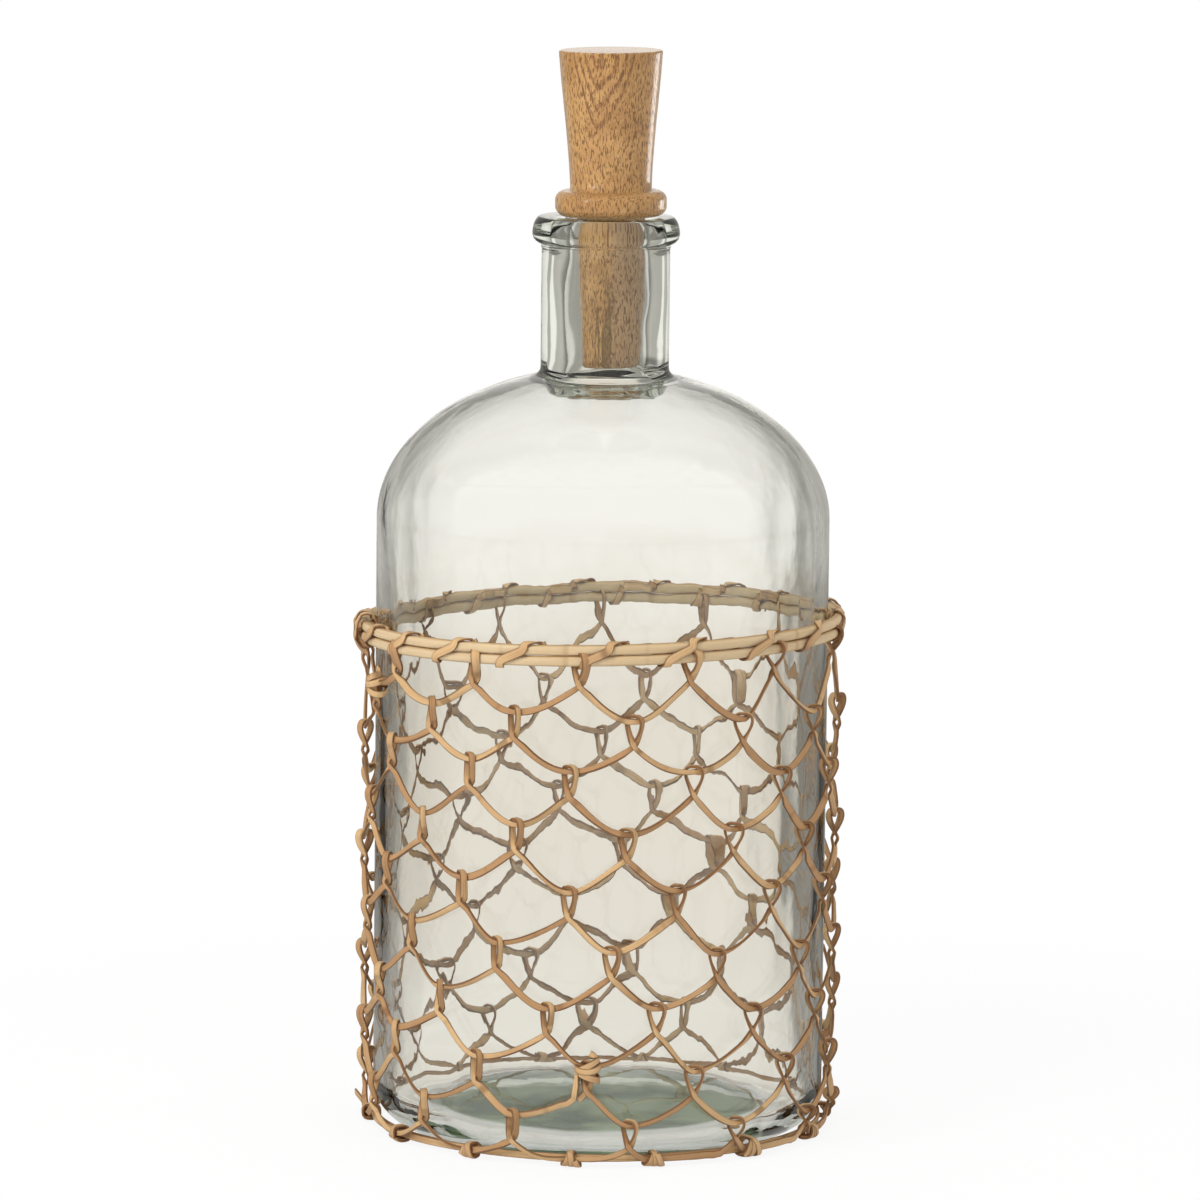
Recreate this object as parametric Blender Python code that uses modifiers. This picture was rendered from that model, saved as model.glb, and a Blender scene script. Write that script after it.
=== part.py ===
"""A glass bottle in a netted cane sleeve, closed by a turned wooden stopper.

Metres, +Z up. The base stands on z = 0 with the bottle's axis through the
origin, and the front faces -Y. An angle round the axis is in degrees from the
front and grows towards +X, so a strand that runs on in angle runs to the right
as the front of the bottle is seen.
"""

from math import acos, ceil, cos, degrees, pi, radians, sin, sqrt

import bmesh
import bpy
import numpy as np
from mathutils.kdtree import KDTree

# Glass bottle
BOTTLE_HEIGHT = 0.3611
BODY_RADIUS = 0.0890
BODY_WALL = 0.0040
SHOULDER_START = 0.2410
SHOULDER_RISE = 0.0590
NECK_RADIUS = 0.0252
NECK_ROOT_FILLET = 0.0050
BORE_RADIUS = 0.0142
BORE_ROOT_ROUND = 0.0060
BORE_MOUTH_ROUND = 0.0020
LIP_RADIUS = 0.0289
LIP_HEIGHT = 0.0117
LIP_TOP_ROUND = 0.0030
LIP_UNDER_ROUND = 0.0025
LIP_UNDERCUT = 0.0010
HEEL_ROUND = 0.0160
BASE_LAND = 0.0060
BASE_WALL = 0.0110
PUSH_UP = 0.0060

# Wooden stopper
HANDLE_TOP_RADIUS = 0.0203
HANDLE_WAIST_RADIUS = 0.0159
HANDLE_LENGTH = 0.0530
HANDLE_EDGE_ROUND = 0.0010
COLLAR_RADIUS = 0.0219
COLLAR_HEIGHT = 0.0100
PLUG_LENGTH = 0.0605
PLUG_TAPER = 0.0026
PLUG_EDGE_ROUND = 0.0012
SEAT_GAP = 0.0003

# Flat cane of the net
STRAND_WIDTH = 0.0023
STRAND_THICKNESS = 0.0010

# Rim of the sleeve: two round cane hoops, one above the other, lashed together
RIM_HEIGHT = 0.1990
RIM_FRONT_LIFT = 0.0010
RIM_RIGHT_LIFT = 0.0023
RIM_GAP = 0.0011
HOOP_CANE_RADIUS = 0.0019
SEAM_GAP = 0.0004
BINDING_WIDTH = 0.0027
BINDING_THICKNESS = 0.0009
BINDING_GAP = 0.0005
BINDING_FRONT_RUN = 0.0066
BINDING_BACK_RUN = 0.0024
BINDING_TURN_RUN = 0.0010
BINDING_TOP_STEP = 0.0210
WRAPS_PER_SPACE = (2, 1, 1)
WRAP_SPREAD = 0.0180

# Net: flat cane looped round the bottle in one long spiral, each loop over the row above
NET_GAP = 0.0016
FIRST_ARC_DROP = 0.0191
ROW_DROP = 0.0226
LOWEST_HOOK_HEIGHT = 0.0110
LOOP_HALF_WIDTH = 0.0029
LOOP_LENGTH = 0.0098
CROSSING_GAP = 0.0011
HOOK_GAP = 0.0009
CROWN_GAP = 0.00045
RIM_LOOP_GAP = 0.0006
ARC_FLAT = 0.0036
RIM_LOOPS = 14
FIRST_LOOP_ANGLE = -81.32
RIM_LOOP_LAG = 3.3
ARC_HOOK_SHARE = 0.4254
CROWN_WIDTH_SHARE = 0.6
CROWN_DEPTH_SHARE = 0.9
RIM_CROWN_WIDTH_SHARE = 0.4

# Knots, where one length of cane is whipped to the next: under the rim, and near the foot
LOOPS_BELOW_KNOT = 17
KNOT_STAND_OFF = 0.0003
KNOT_LEG_HALF_WIDTH = 0.0010
KNOT_SIDE_GAP = 0.00155
KNOT_FACE_GAP = 0.0010
KNOT_TURN_GAP = 0.0008
KNOT_TOP_GAP = 0.0016
KNOT_TURNS = 1.5
KNOT_START_TURN_SHARE = -1 / 6
TAIL_LENGTH = 0.0030

# Foot of the sleeve: a flat cane hoop, and the lashings that hold the net to it
FLOOR_GAP = 0.0006
HEEL_GAP = 0.0007
FOOT_WIDTH = 0.0030
FOOT_THICKNESS = 0.0009
FOOT_LAP_GAP = 0.0005
FOOT_START_ANGLE = -42.0
FOOT_TAIL_SIDE = -90.0
FOOT_TAIL_LEAD = 0.0059
FOOT_TAIL_LENGTH = 0.0165
FOOT_TAIL_REACH = 0.0090
FOOT_TAIL_RISE = 0.0020
FOOT_RUN_LEAD = 0.0060
TIE_WIDTH = 0.0024
TIE_THICKNESS = 0.0008
TIE_GAP = 0.0004

# Facets
BODY_STEPS = 36
STOPPER_STEPS = 28
HOOP_POINTS = 72
FOOT_POINTS_PER_TURN = 60
FOOT_STEPS_TO_LAP = 3
CANE_BEVEL_RESOLUTION = 2
KNOT_POINTS_PER_TURN = 8
MERGE_DISTANCE = 0.00001
GAP_SAMPLE_SHARE = 0.6
GAP_SKIP_SHARE = 3.3

# Worked out from the sizes above
STOPPER_SEAT = BOTTLE_HEIGHT + SEAT_GAP
RIM_RADIUS = BODY_RADIUS + RIM_GAP + BINDING_THICKNESS + BINDING_GAP + HOOP_CANE_RADIUS
SEAM_HALF = STRAND_THICKNESS / 2 + SEAM_GAP
HOOP_DROP = HOOP_CANE_RADIUS + SEAM_HALF
HOOK_OFFSET = STRAND_THICKNESS + HOOK_GAP
HOOK_RISE = (STRAND_WIDTH + STRAND_THICKNESS) / 2 + CROWN_GAP
CROSSING_OFFSET = (STRAND_THICKNESS + CROSSING_GAP) / 2
NET_RADIUS = BODY_RADIUS + NET_GAP + STRAND_THICKNESS / 2 + HOOK_OFFSET
NET_TOP_HEIGHT = RIM_HEIGHT - FIRST_ARC_DROP
LOOP_STEP = 360 / (RIM_LOOPS - ARC_HOOK_SHARE)
LOOP_FALL = ROW_DROP * LOOP_STEP / 360
FIRST_TIED_ARC = ceil((NET_TOP_HEIGHT - LOWEST_HOOK_HEIGHT) / LOOP_FALL)
LAST_LOOP = FIRST_TIED_ARC + RIM_LOOPS - 1
KNOT_LOOPS = (RIM_LOOPS, LAST_LOOP - LOOPS_BELOW_KNOT)
KNOT_HALF_WIDTH = KNOT_LEG_HALF_WIDTH + (STRAND_WIDTH + STRAND_THICKNESS) / 2 + KNOT_SIDE_GAP
KNOT_HALF_DEPTH = CROSSING_OFFSET + STRAND_THICKNESS + KNOT_FACE_GAP
KNOT_PITCH = STRAND_WIDTH + KNOT_TURN_GAP
KNOT_TOP_DROP = 2 * STRAND_WIDTH + KNOT_TOP_GAP
FOOT_HEIGHT = FLOOR_GAP + TIE_THICKNESS + TIE_GAP + FOOT_WIDTH / 2
TIE_TOP = 2 * FOOT_HEIGHT - FLOOR_GAP
TIE_INSIDE = BODY_RADIUS - HEEL_ROUND + sqrt((HEEL_ROUND + HEEL_GAP) ** 2 - (HEEL_ROUND - TIE_TOP) ** 2)
FOOT_RADIUS = TIE_INSIDE + TIE_THICKNESS + TIE_GAP + FOOT_THICKNESS / 2
FOOT_LAP = FOOT_THICKNESS + FOOT_LAP_GAP
FOOT_STRAND_RADIUS = FOOT_RADIUS + FOOT_LAP + (FOOT_THICKNESS + STRAND_THICKNESS) / 2 + FOOT_LAP_GAP
LOWEST_CROSSING = FOOT_HEIGHT + 2 * STRAND_WIDTH


def clear_scene():
    for item in list(bpy.data.objects):
        bpy.data.objects.remove(item, do_unlink=True)


def collection(name):
    made = bpy.data.collections.new(name)
    bpy.context.scene.collection.children.link(made)
    return made


def material(name, colour, roughness, alpha=1.0):
    made = bpy.data.materials.new(name)
    made.use_nodes = True
    shader = made.node_tree.nodes["Principled BSDF"]
    shader.inputs["Base Color"].default_value = (*colour, 1.0)
    shader.inputs["Roughness"].default_value = roughness
    shader.inputs["Metallic"].default_value = 0.0
    shader.inputs["Alpha"].default_value = alpha
    made.diffuse_color = (*colour, alpha)
    return made


def add_object(name, data, parent, finish, group):
    made = bpy.data.objects.new(name, data)
    made.data.materials.append(finish)
    made.parent = parent
    group.objects.link(made)
    return made


def add_empty(name, group):
    made = bpy.data.objects.new(name, None)
    made.empty_display_type = "PLAIN_AXES"
    group.objects.link(made)
    return made


def arc(centre, radius, start, end, count):
    """Points on a circle from one angle to another, in degrees from +X, both ends included."""
    turns = [radians(start + (end - start) * i / count) for i in range(count + 1)]
    return [(centre[0] + radius * cos(t), centre[1] + radius * sin(t)) for t in turns]


def shoulder_arc(inset, stop, count):
    """Points up the shoulder's quarter ellipse, set in by a wall, from the body to a parameter."""
    across, rise = BODY_RADIUS - inset, SHOULDER_RISE - inset
    turns = [stop * i / count for i in range(count + 1)]
    return [(across * cos(t), SHOULDER_START + rise * sin(t)) for t in turns]


def shoulder_round(inset, shaft, radius):
    """Where a round of this radius touches both the shoulder's ellipse and an upright wall.

    Returns the ellipse's parameter there, the round's centre, and the angle at which the
    round meets the ellipse, in degrees from +X.
    """
    across, rise = BODY_RADIUS - inset, SHOULDER_RISE - inset
    low, high = 0.0, pi / 2
    for _ in range(60):
        t = (low + high) / 2
        length = sqrt((rise * cos(t)) ** 2 + (across * sin(t)) ** 2)
        reach = across * cos(t) + radius * rise * cos(t) / length
        if reach > shaft + radius:
            low = t
        else:
            high = t
    normal = (rise * cos(t) / length, across * sin(t) / length)
    centre = (shaft + radius, SHOULDER_START + rise * sin(t) + radius * normal[1])
    return t, centre, 180 + degrees(acos(normal[0]))


def turned(name, profile, steps, parent, finish, group, base=0.0):
    """A solid turned round the Z axis from a profile that runs down its outer side."""
    mesh = bpy.data.meshes.new(name)
    edges = [(i, i + 1) for i in range(len(profile) - 1)]
    mesh.from_pydata([(x, 0.0, z - base) for x, z in profile], edges, [])
    made = add_object(name, mesh, parent, finish, group)
    made.location.z = base
    screw = made.modifiers.new("Turn", "SCREW")
    screw.angle = 2 * pi
    screw.steps = steps
    screw.render_steps = steps
    screw.use_merge_vertices = True
    screw.merge_threshold = MERGE_DISTANCE
    screw.use_smooth_shade = True
    return made


def bottle_profile():
    """The glass from the middle of its floor, up the inside, over the lip and down the outside."""
    inner = BODY_RADIUS - BODY_WALL
    floor = BASE_WALL + PUSH_UP
    heel_inside = HEEL_ROUND - BODY_WALL
    points = [(0.0, floor), (inner - 2 * heel_inside, BASE_WALL + PUSH_UP / 4)]
    points += arc((inner - heel_inside, BASE_WALL + heel_inside), heel_inside, -90, 0, 4)
    t, centre, meet = shoulder_round(BODY_WALL, BORE_RADIUS, BORE_ROOT_ROUND)
    points += shoulder_arc(BODY_WALL, t, 8)
    points += arc(centre, BORE_ROOT_ROUND, meet, 180, 3)[1:]
    mouth = (BORE_RADIUS + BORE_MOUTH_ROUND, BOTTLE_HEIGHT - BORE_MOUTH_ROUND)
    points += arc(mouth, BORE_MOUTH_ROUND, 180, 90, 2)
    lip_top = (LIP_RADIUS - LIP_TOP_ROUND, BOTTLE_HEIGHT - LIP_TOP_ROUND)
    points += arc(lip_top, LIP_TOP_ROUND, 90, 0, 3)
    under = BOTTLE_HEIGHT - LIP_HEIGHT
    points += arc((LIP_RADIUS - LIP_UNDER_ROUND, under + LIP_UNDER_ROUND), LIP_UNDER_ROUND, 0, -90, 3)
    points += [(NECK_RADIUS, under - LIP_UNDERCUT)]
    t, centre, meet = shoulder_round(0.0, NECK_RADIUS, NECK_ROOT_FILLET)
    points += arc(centre, NECK_ROOT_FILLET, 180, meet, 3)
    points += shoulder_arc(0.0, t, 10)[::-1][1:]
    points += arc((BODY_RADIUS - HEEL_ROUND, HEEL_ROUND), HEEL_ROUND, 0, -90, 5)
    land_edge = BODY_RADIUS - HEEL_ROUND - BASE_LAND
    points += [(land_edge, 0.0)]
    points += [(land_edge * cos(radians(a)), PUSH_UP * sin(radians(a))) for a in (30, 60)]
    return points + [(0.0, PUSH_UP)]


def stopper_profile():
    """The stopper from the middle of its top, down the handle, collar and plug."""
    top = STOPPER_SEAT + COLLAR_HEIGHT + HANDLE_LENGTH
    collar_top = STOPPER_SEAT + COLLAR_HEIGHT
    bead = COLLAR_HEIGHT / 2
    points = [(0.0, top)]
    edge = HANDLE_EDGE_ROUND
    points += arc((HANDLE_TOP_RADIUS - edge, top - edge), edge, 90, 0, 2)
    points += [(HANDLE_WAIST_RADIUS, collar_top)]
    points += arc((COLLAR_RADIUS - bead, STOPPER_SEAT + bead), bead, 90, -90, 6)
    plug = BORE_RADIUS - SEAT_GAP
    end = STOPPER_SEAT - PLUG_LENGTH
    points += [(plug, STOPPER_SEAT)]
    tip = plug - PLUG_TAPER
    points += arc((tip - PLUG_EDGE_ROUND, end + PLUG_EDGE_ROUND), PLUG_EDGE_ROUND, 0, -90, 2)
    return points + [(0.0, end)]


def outward(angle):
    return np.array((sin(radians(angle)), -cos(radians(angle)), 0.0))


def place(angle, radius, height):
    return outward(angle) * radius + np.array((0.0, 0.0, height))


def turn_of(length):
    """The angle that a length along the sleeve covers, in degrees."""
    return degrees(length / NET_RADIUS)


def rim_height(angle):
    """Height of the rim's seam, which stands a little askew: higher at the front and the right."""
    a = radians(angle)
    return RIM_HEIGHT + RIM_FRONT_LIFT * cos(a) + RIM_RIGHT_LIFT * sin(a)


class Path:
    """A flat strip's centre line, and the way its flat face looks at each point."""

    def __init__(self):
        self.points = []
        self.facings = []
        self.side = 1

    def add(self, angle, radius, height, out=1.0, up=0.0):
        self.points.append(place(angle, radius, height))
        self.facings.append((outward(angle) * out + np.array((0.0, 0.0, up))) * self.side)

    def turn_over(self):
        """A loop leaves the strip with its other face outward."""
        self.side = -self.side

    def rings(self, width, thickness, closed=False):
        """Four corners of the strip at each point, mitred where the line turns."""
        line = np.array(self.points)
        ahead = np.roll(line, -1, axis=0) - line
        behind = line - np.roll(line, 1, axis=0)
        if not closed:
            ahead[-1] = behind[-1]
            behind[0] = ahead[0]
        ahead /= np.linalg.norm(ahead, axis=1)[:, None]
        behind /= np.linalg.norm(behind, axis=1)[:, None]
        along = ahead + behind
        along /= np.linalg.norm(along, axis=1)[:, None]
        face = np.array(self.facings)
        face -= along * (face * along).sum(1)[:, None]
        face /= np.linalg.norm(face, axis=1)[:, None]
        side = np.cross(along, face)
        bend = ahead - behind
        length = np.linalg.norm(bend, axis=1)
        bend /= np.maximum(length, 1e-9)[:, None]
        stretch = 1 / np.maximum((along * ahead).sum(1), 0.75) - 1
        stretch[length < 1e-6] = 0.0
        corners = []
        for across, through in ((1, 1), (-1, 1), (-1, -1), (1, -1)):
            offset = side * across * width / 2 + face * through * thickness / 2
            offset += bend * ((offset * bend).sum(1) * stretch)[:, None]
            corners.append(line + offset)
        return np.stack(corners, axis=1)


def strip(name, path, width, thickness, parent, finish, group, closed=False):
    """A flat strip swept along a path. Its flat face follows the path's own facings, which a
    curve's bevel can't hold where a loop turns straight up and down."""
    rings = path.rings(width, thickness, closed)
    shape = bmesh.new()
    verts = [[shape.verts.new(corner) for corner in ring] for ring in rings]
    pairs = list(zip(verts, verts[1:] + verts[:1]))
    for here, there in pairs if closed else pairs[:-1]:
        for k in range(4):
            shape.faces.new((here[k], here[k - 1], there[k - 1], there[k]))
    if not closed:
        shape.faces.new(verts[0])
        shape.faces.new(verts[-1][::-1])
    bmesh.ops.recalc_face_normals(shape, faces=shape.faces)
    mesh = bpy.data.meshes.new(name)
    shape.to_mesh(mesh)
    shape.free()
    return add_object(name, mesh, parent, finish, group)


def least_gap(path, width, thickness):
    """Least distance between parts of a strip's surface that lie a way apart along it."""
    spacing, skip = thickness * GAP_SAMPLE_SHARE, width * GAP_SKIP_SHARE
    rings = path.rings(width, thickness)
    samples, stations = [], []
    run = 0.0
    for here, there in zip(rings, rings[1:]):
        length = np.linalg.norm(there.mean(0) - here.mean(0))
        count = max(1, ceil(length / spacing))
        for i in range(count):
            ring = here + (there - here) * i / count
            middles = (ring + np.roll(ring, 1, axis=0)) / 2
            samples += list(ring) + list(middles)
            stations += [run + length * i / count] * 8
        run += length
    tree = KDTree(len(samples))
    for i, point in enumerate(samples):
        tree.insert(point, i)
    tree.balance()
    least = 4 * thickness
    for i in range(0, len(samples), 2):
        for _, j, distance in tree.find_range(samples[i], least):
            if abs(stations[i] - stations[j]) > skip and distance < least:
                least = distance
    return least


def loop_angle(loop):
    """Angle of a loop. Those on the rim lie a little to the left of the net's even steps."""
    lag = RIM_LOOP_LAG if loop < RIM_LOOPS else 0.0
    return FIRST_LOOP_ANGLE + LOOP_STEP * loop - lag


def hook_height(loop):
    """Height of the strand that this loop of the net hooks over."""
    return NET_TOP_HEIGHT - LOOP_FALL * (loop - RIM_LOOPS)


def crossing_height(loop):
    """Height at which the two legs of a loop cross."""
    if loop < RIM_LOOPS:
        return rim_height(loop_angle(loop)) - HOOP_DROP - LOOP_LENGTH
    if loop in KNOT_LOOPS:
        return hook_height(loop) - LOOP_LENGTH - STRAND_WIDTH
    return max(hook_height(loop) - LOOP_LENGTH, LOWEST_CROSSING)


def first_level_arc():
    """The first arc that runs level along the foot hoop, from one loop to the next."""
    arc_number = FIRST_TIED_ARC
    while crossing_height(arc_number) > LOWEST_CROSSING:
        arc_number += 1
    return arc_number


def net_loop(path, loop):
    """One loop: up behind what it hooks, over it, down in front, and out across itself."""
    angle = loop_angle(loop)
    hook, cross = hook_height(loop), crossing_height(loop)
    knotted = loop in KNOT_LOOPS
    level = NET_RADIUS + (KNOT_STAND_OFF if knotted else 0.0)
    leg, neck = turn_of(LOOP_HALF_WIDTH), turn_of(KNOT_LEG_HALF_WIDTH)
    neck_height = hook - KNOT_TOP_DROP + STRAND_WIDTH
    crown, depth = leg * CROWN_WIDTH_SHARE, HOOK_OFFSET * CROWN_DEPTH_SHARE
    low, high = hook - STRAND_WIDTH / 2, hook + HOOK_RISE
    path.add(angle, level - CROSSING_OFFSET, cross)
    if knotted:
        path.add(angle + neck, level - CROSSING_OFFSET, neck_height)
    path.add(angle + leg, NET_RADIUS - HOOK_OFFSET, low)
    path.add(angle + crown, NET_RADIUS - depth, high, 0.6, -0.8)
    path.add(angle - crown, NET_RADIUS + depth, high, -0.6, -0.8)
    path.add(angle - leg, NET_RADIUS + HOOK_OFFSET, low, -1)
    if knotted:
        path.add(angle - neck, level + CROSSING_OFFSET, neck_height, -1)
    path.add(angle, level + CROSSING_OFFSET, cross, -1)
    path.turn_over()


def rim_loop(path, loop):
    """One loop round the lower hoop: up behind it, through the seam, and down in front."""
    angle, cross = loop_angle(loop), crossing_height(loop)
    leg = turn_of(LOOP_HALF_WIDTH)
    crown = leg * RIM_CROWN_WIDTH_SHARE
    away = HOOP_CANE_RADIUS + RIM_LOOP_GAP + STRAND_THICKNESS / 2
    path.add(angle, NET_RADIUS - CROSSING_OFFSET, cross)
    path.add(angle + leg, RIM_RADIUS - away, rim_height(angle + leg) - HOOP_DROP)
    path.add(angle + crown, RIM_RADIUS - HOOP_CANE_RADIUS, rim_height(angle + crown), 0.5, -1)
    path.add(angle - crown, RIM_RADIUS + HOOP_CANE_RADIUS, rim_height(angle - crown), -0.5, -1)
    path.add(angle - leg, RIM_RADIUS + away, rim_height(angle - leg) - HOOP_DROP, -1)
    path.add(angle, NET_RADIUS + CROSSING_OFFSET, cross, -1)
    path.turn_over()


def net_arc(path, loop):
    """The arc that hangs between one loop and the next, level where it is hooked or tied."""
    start = loop_angle(loop)
    hook = loop_angle(loop + RIM_LOOPS) - 360
    if loop >= first_level_arc():
        lead = turn_of(FOOT_RUN_LEAD)
        end = hook if loop == LAST_LOOP else start + LOOP_STEP - lead
        for angle in (start + lead, (start + lead + end) / 2, end):
            path.add(angle, FOOT_STRAND_RADIUS, FOOT_HEIGHT)
        return
    tied = loop >= FIRST_TIED_ARC
    radius = FOOT_STRAND_RADIUS if tied else NET_RADIUS
    height = FOOT_HEIGHT if tied else hook_height(loop + RIM_LOOPS)
    path.add(hook - turn_of(ARC_FLAT), radius, height)
    path.add(hook + turn_of(ARC_FLAT), radius, height)


def whipping(path, loop):
    """The end of one length of cane, wound up round the legs of the next length's first loop."""
    angle = loop_angle(loop)
    top = hook_height(loop) - KNOT_TOP_DROP
    count = round(KNOT_TURNS * KNOT_POINTS_PER_TURN)
    for i in range(count + 1):
        turn = 2 * pi * (KNOT_TURNS * i / count + KNOT_START_TURN_SHARE)
        across = KNOT_HALF_WIDTH * sin(turn)
        away = KNOT_STAND_OFF + KNOT_HALF_DEPTH * cos(turn)
        climb = KNOT_PITCH * KNOT_TURNS * (1 - i / count)
        path.add(angle + turn_of(across), NET_RADIUS + away, top - climb)
        right = outward(angle + 90) * sin(turn) / KNOT_HALF_WIDTH
        out = outward(angle) * cos(turn) / KNOT_HALF_DEPTH
        path.facings[-1] = (right + out) * path.side


def net_strand(first, last):
    """One length of cane: its loops, the arcs between them, and its winding on the next length."""
    path = Path()
    level = NET_RADIUS + (KNOT_STAND_OFF if first in KNOT_LOOPS else 0.0)
    tail_angle = loop_angle(first) - turn_of(TAIL_LENGTH) / 2
    path.add(tail_angle, level - CROSSING_OFFSET, crossing_height(first) - TAIL_LENGTH)
    for loop in range(first, last + 1):
        if loop < RIM_LOOPS:
            rim_loop(path, loop)
        else:
            net_loop(path, loop)
        net_arc(path, loop)
    if last + 1 in KNOT_LOOPS:
        whipping(path, last + 1)
    return path


def wrap_starts(length):
    """Angle at which each wrap of the binding starts, between the net's loops on the rim."""
    starts = []
    for space in range(RIM_LOOPS):
        last = space == RIM_LOOPS - 1
        space_end = loop_angle(0) + 360 if last else loop_angle(space + 1)
        wraps = 1 if last else WRAPS_PER_SPACE[space % len(WRAPS_PER_SPACE)]
        middle = (loop_angle(space) + space_end) / 2
        for wrap in range(wraps):
            spread = WRAP_SPREAD * (wrap - (wraps - 1) / 2)
            starts.append(middle + turn_of(spread - length / 2))
    return starts


def binding_path():
    """The strip that lashes the two hoops together in an open spiral. Each wrap comes down the
    back, goes under and runs up across the front; on top it crosses over the net's loops."""
    path = Path()
    corner = (HOOP_CANE_RADIUS + BINDING_GAP + BINDING_THICKNESS / 2) / cos(pi / 8)
    near, far = corner * sin(pi / 8), corner * cos(pi / 8)
    high, middle = HOOP_DROP + far, HOOP_DROP + near
    turn, back, front = BINDING_TURN_RUN, BINDING_BACK_RUN, BINDING_FRONT_RUN
    wrap = (
        (0.0, -near, high), (turn, -far, middle), (back, -far, -middle), (turn, -near, -high),
        (turn, near, -high), (turn, far, -middle), (front, far, middle), (turn, near, high),
    )
    length = sum(run for run, _, _ in wrap)

    def station(angle, away, up):
        path.add(angle, RIM_RADIUS + away, rim_height(angle) + up, away, up / 2)

    end = loop_angle(0) - turn_of(BINDING_WIDTH)
    station(end, near, high)
    for start in wrap_starts(length):
        pieces = ceil((start - end) / turn_of(BINDING_TOP_STEP))
        for i in range(1, pieces):
            share = i / pieces
            station(end + (start - end) * share, near * (1 - 2 * share), high)
        angle = start
        for run, away, up in wrap:
            angle += turn_of(run)
            station(angle, away, up)
        end = angle
    return path


def loose_end_angle():
    """Where the foot hoop's loose end leaves it, just past the tie nearest to one side."""
    tie = min(tie_angles(), key=lambda angle: abs((angle - FOOT_TAIL_SIDE + 180) % 360 - 180))
    return tie - turn_of(FOOT_TAIL_LEAD)


def foot_path():
    """The foot hoop: one turn of flat cane, lapped on itself, with its loose end standing out."""
    path = Path()
    turn = 360 + (FOOT_START_ANGLE - loose_end_angle()) % 360
    count = round(turn / 360 * FOOT_POINTS_PER_TURN)
    for i in range(count + 1):
        steps_past_turn = i - count * 360 / turn
        lapped_share = min(1.0, max(0.0, steps_past_turn / FOOT_STEPS_TO_LAP + 4 / 3))
        path.add(FOOT_START_ANGLE - turn * i / count, FOOT_RADIUS + FOOT_LAP * lapped_share, FOOT_HEIGHT)
    end = FOOT_START_ANGLE - turn
    tail = turn_of(FOOT_TAIL_LENGTH)
    dip = -TIE_GAP - TIE_THICKNESS
    for along_share, out_share, up in ((0.25, 0.1, dip), (0.55, 0.5, dip), (1.0, 1.0, FOOT_TAIL_RISE)):
        radius = FOOT_RADIUS + FOOT_LAP + FOOT_TAIL_REACH * out_share
        path.add(end - tail * along_share, radius, FOOT_HEIGHT + up)
    return path


def tie_angles():
    """Where the net is lashed to the foot hoop: at its lowest arcs, and beside its last loops."""
    level = first_level_arc()
    hooked = [loop_angle(k) + LOOP_STEP * ARC_HOOK_SHARE for k in range(FIRST_TIED_ARC, level)]
    lead = turn_of(FOOT_RUN_LEAD + TIE_WIDTH)
    return hooked + [loop_angle(k) + lead for k in range(level, LAST_LOOP + 1)]


def tie_path(angle):
    """A lashing round the foot hoop and the strand outside it, as a rounded rectangle."""
    path = Path()
    clear = TIE_GAP + TIE_THICKNESS / 2
    inside = FOOT_RADIUS - FOOT_THICKNESS / 2 - clear
    outside = FOOT_STRAND_RADIUS + STRAND_THICKNESS / 2 + clear
    half = FOOT_WIDTH / 2 + clear
    ease = TIE_THICKNESS / 2
    for radius, up, out_face, up_face in (
        (inside + ease, -half, -0.4, -1),
        (outside - ease, -half, 0.4, -1),
        (outside, ease - half, 1, -0.4),
        (outside, half - ease, 1, 0.4),
        (outside - ease, half, 0.4, 1),
        (inside + ease, half, -0.4, 1),
        (inside, half - ease, -1, 0.4),
        (inside, ease - half, -1, -0.4),
    ):
        path.add(angle, radius, FOOT_HEIGHT + up, out_face, up_face)
    return path


def hoop(name, rise, parent, finish, group):
    """One round cane hoop of the rim."""
    curve = bpy.data.curves.new(name, "CURVE")
    curve.dimensions = "3D"
    curve.bevel_depth = HOOP_CANE_RADIUS
    curve.bevel_resolution = CANE_BEVEL_RESOLUTION
    spline = curve.splines.new("POLY")
    spline.points.add(HOOP_POINTS - 1)
    for i, point in enumerate(spline.points):
        angle = 360 * i / HOOP_POINTS
        point.co = (*place(angle, RIM_RADIUS, rim_height(angle) + rise), 1.0)
    spline.use_cyclic_u = True
    spline.use_smooth = True
    return add_object(name, curve, parent, finish, group)


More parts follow.
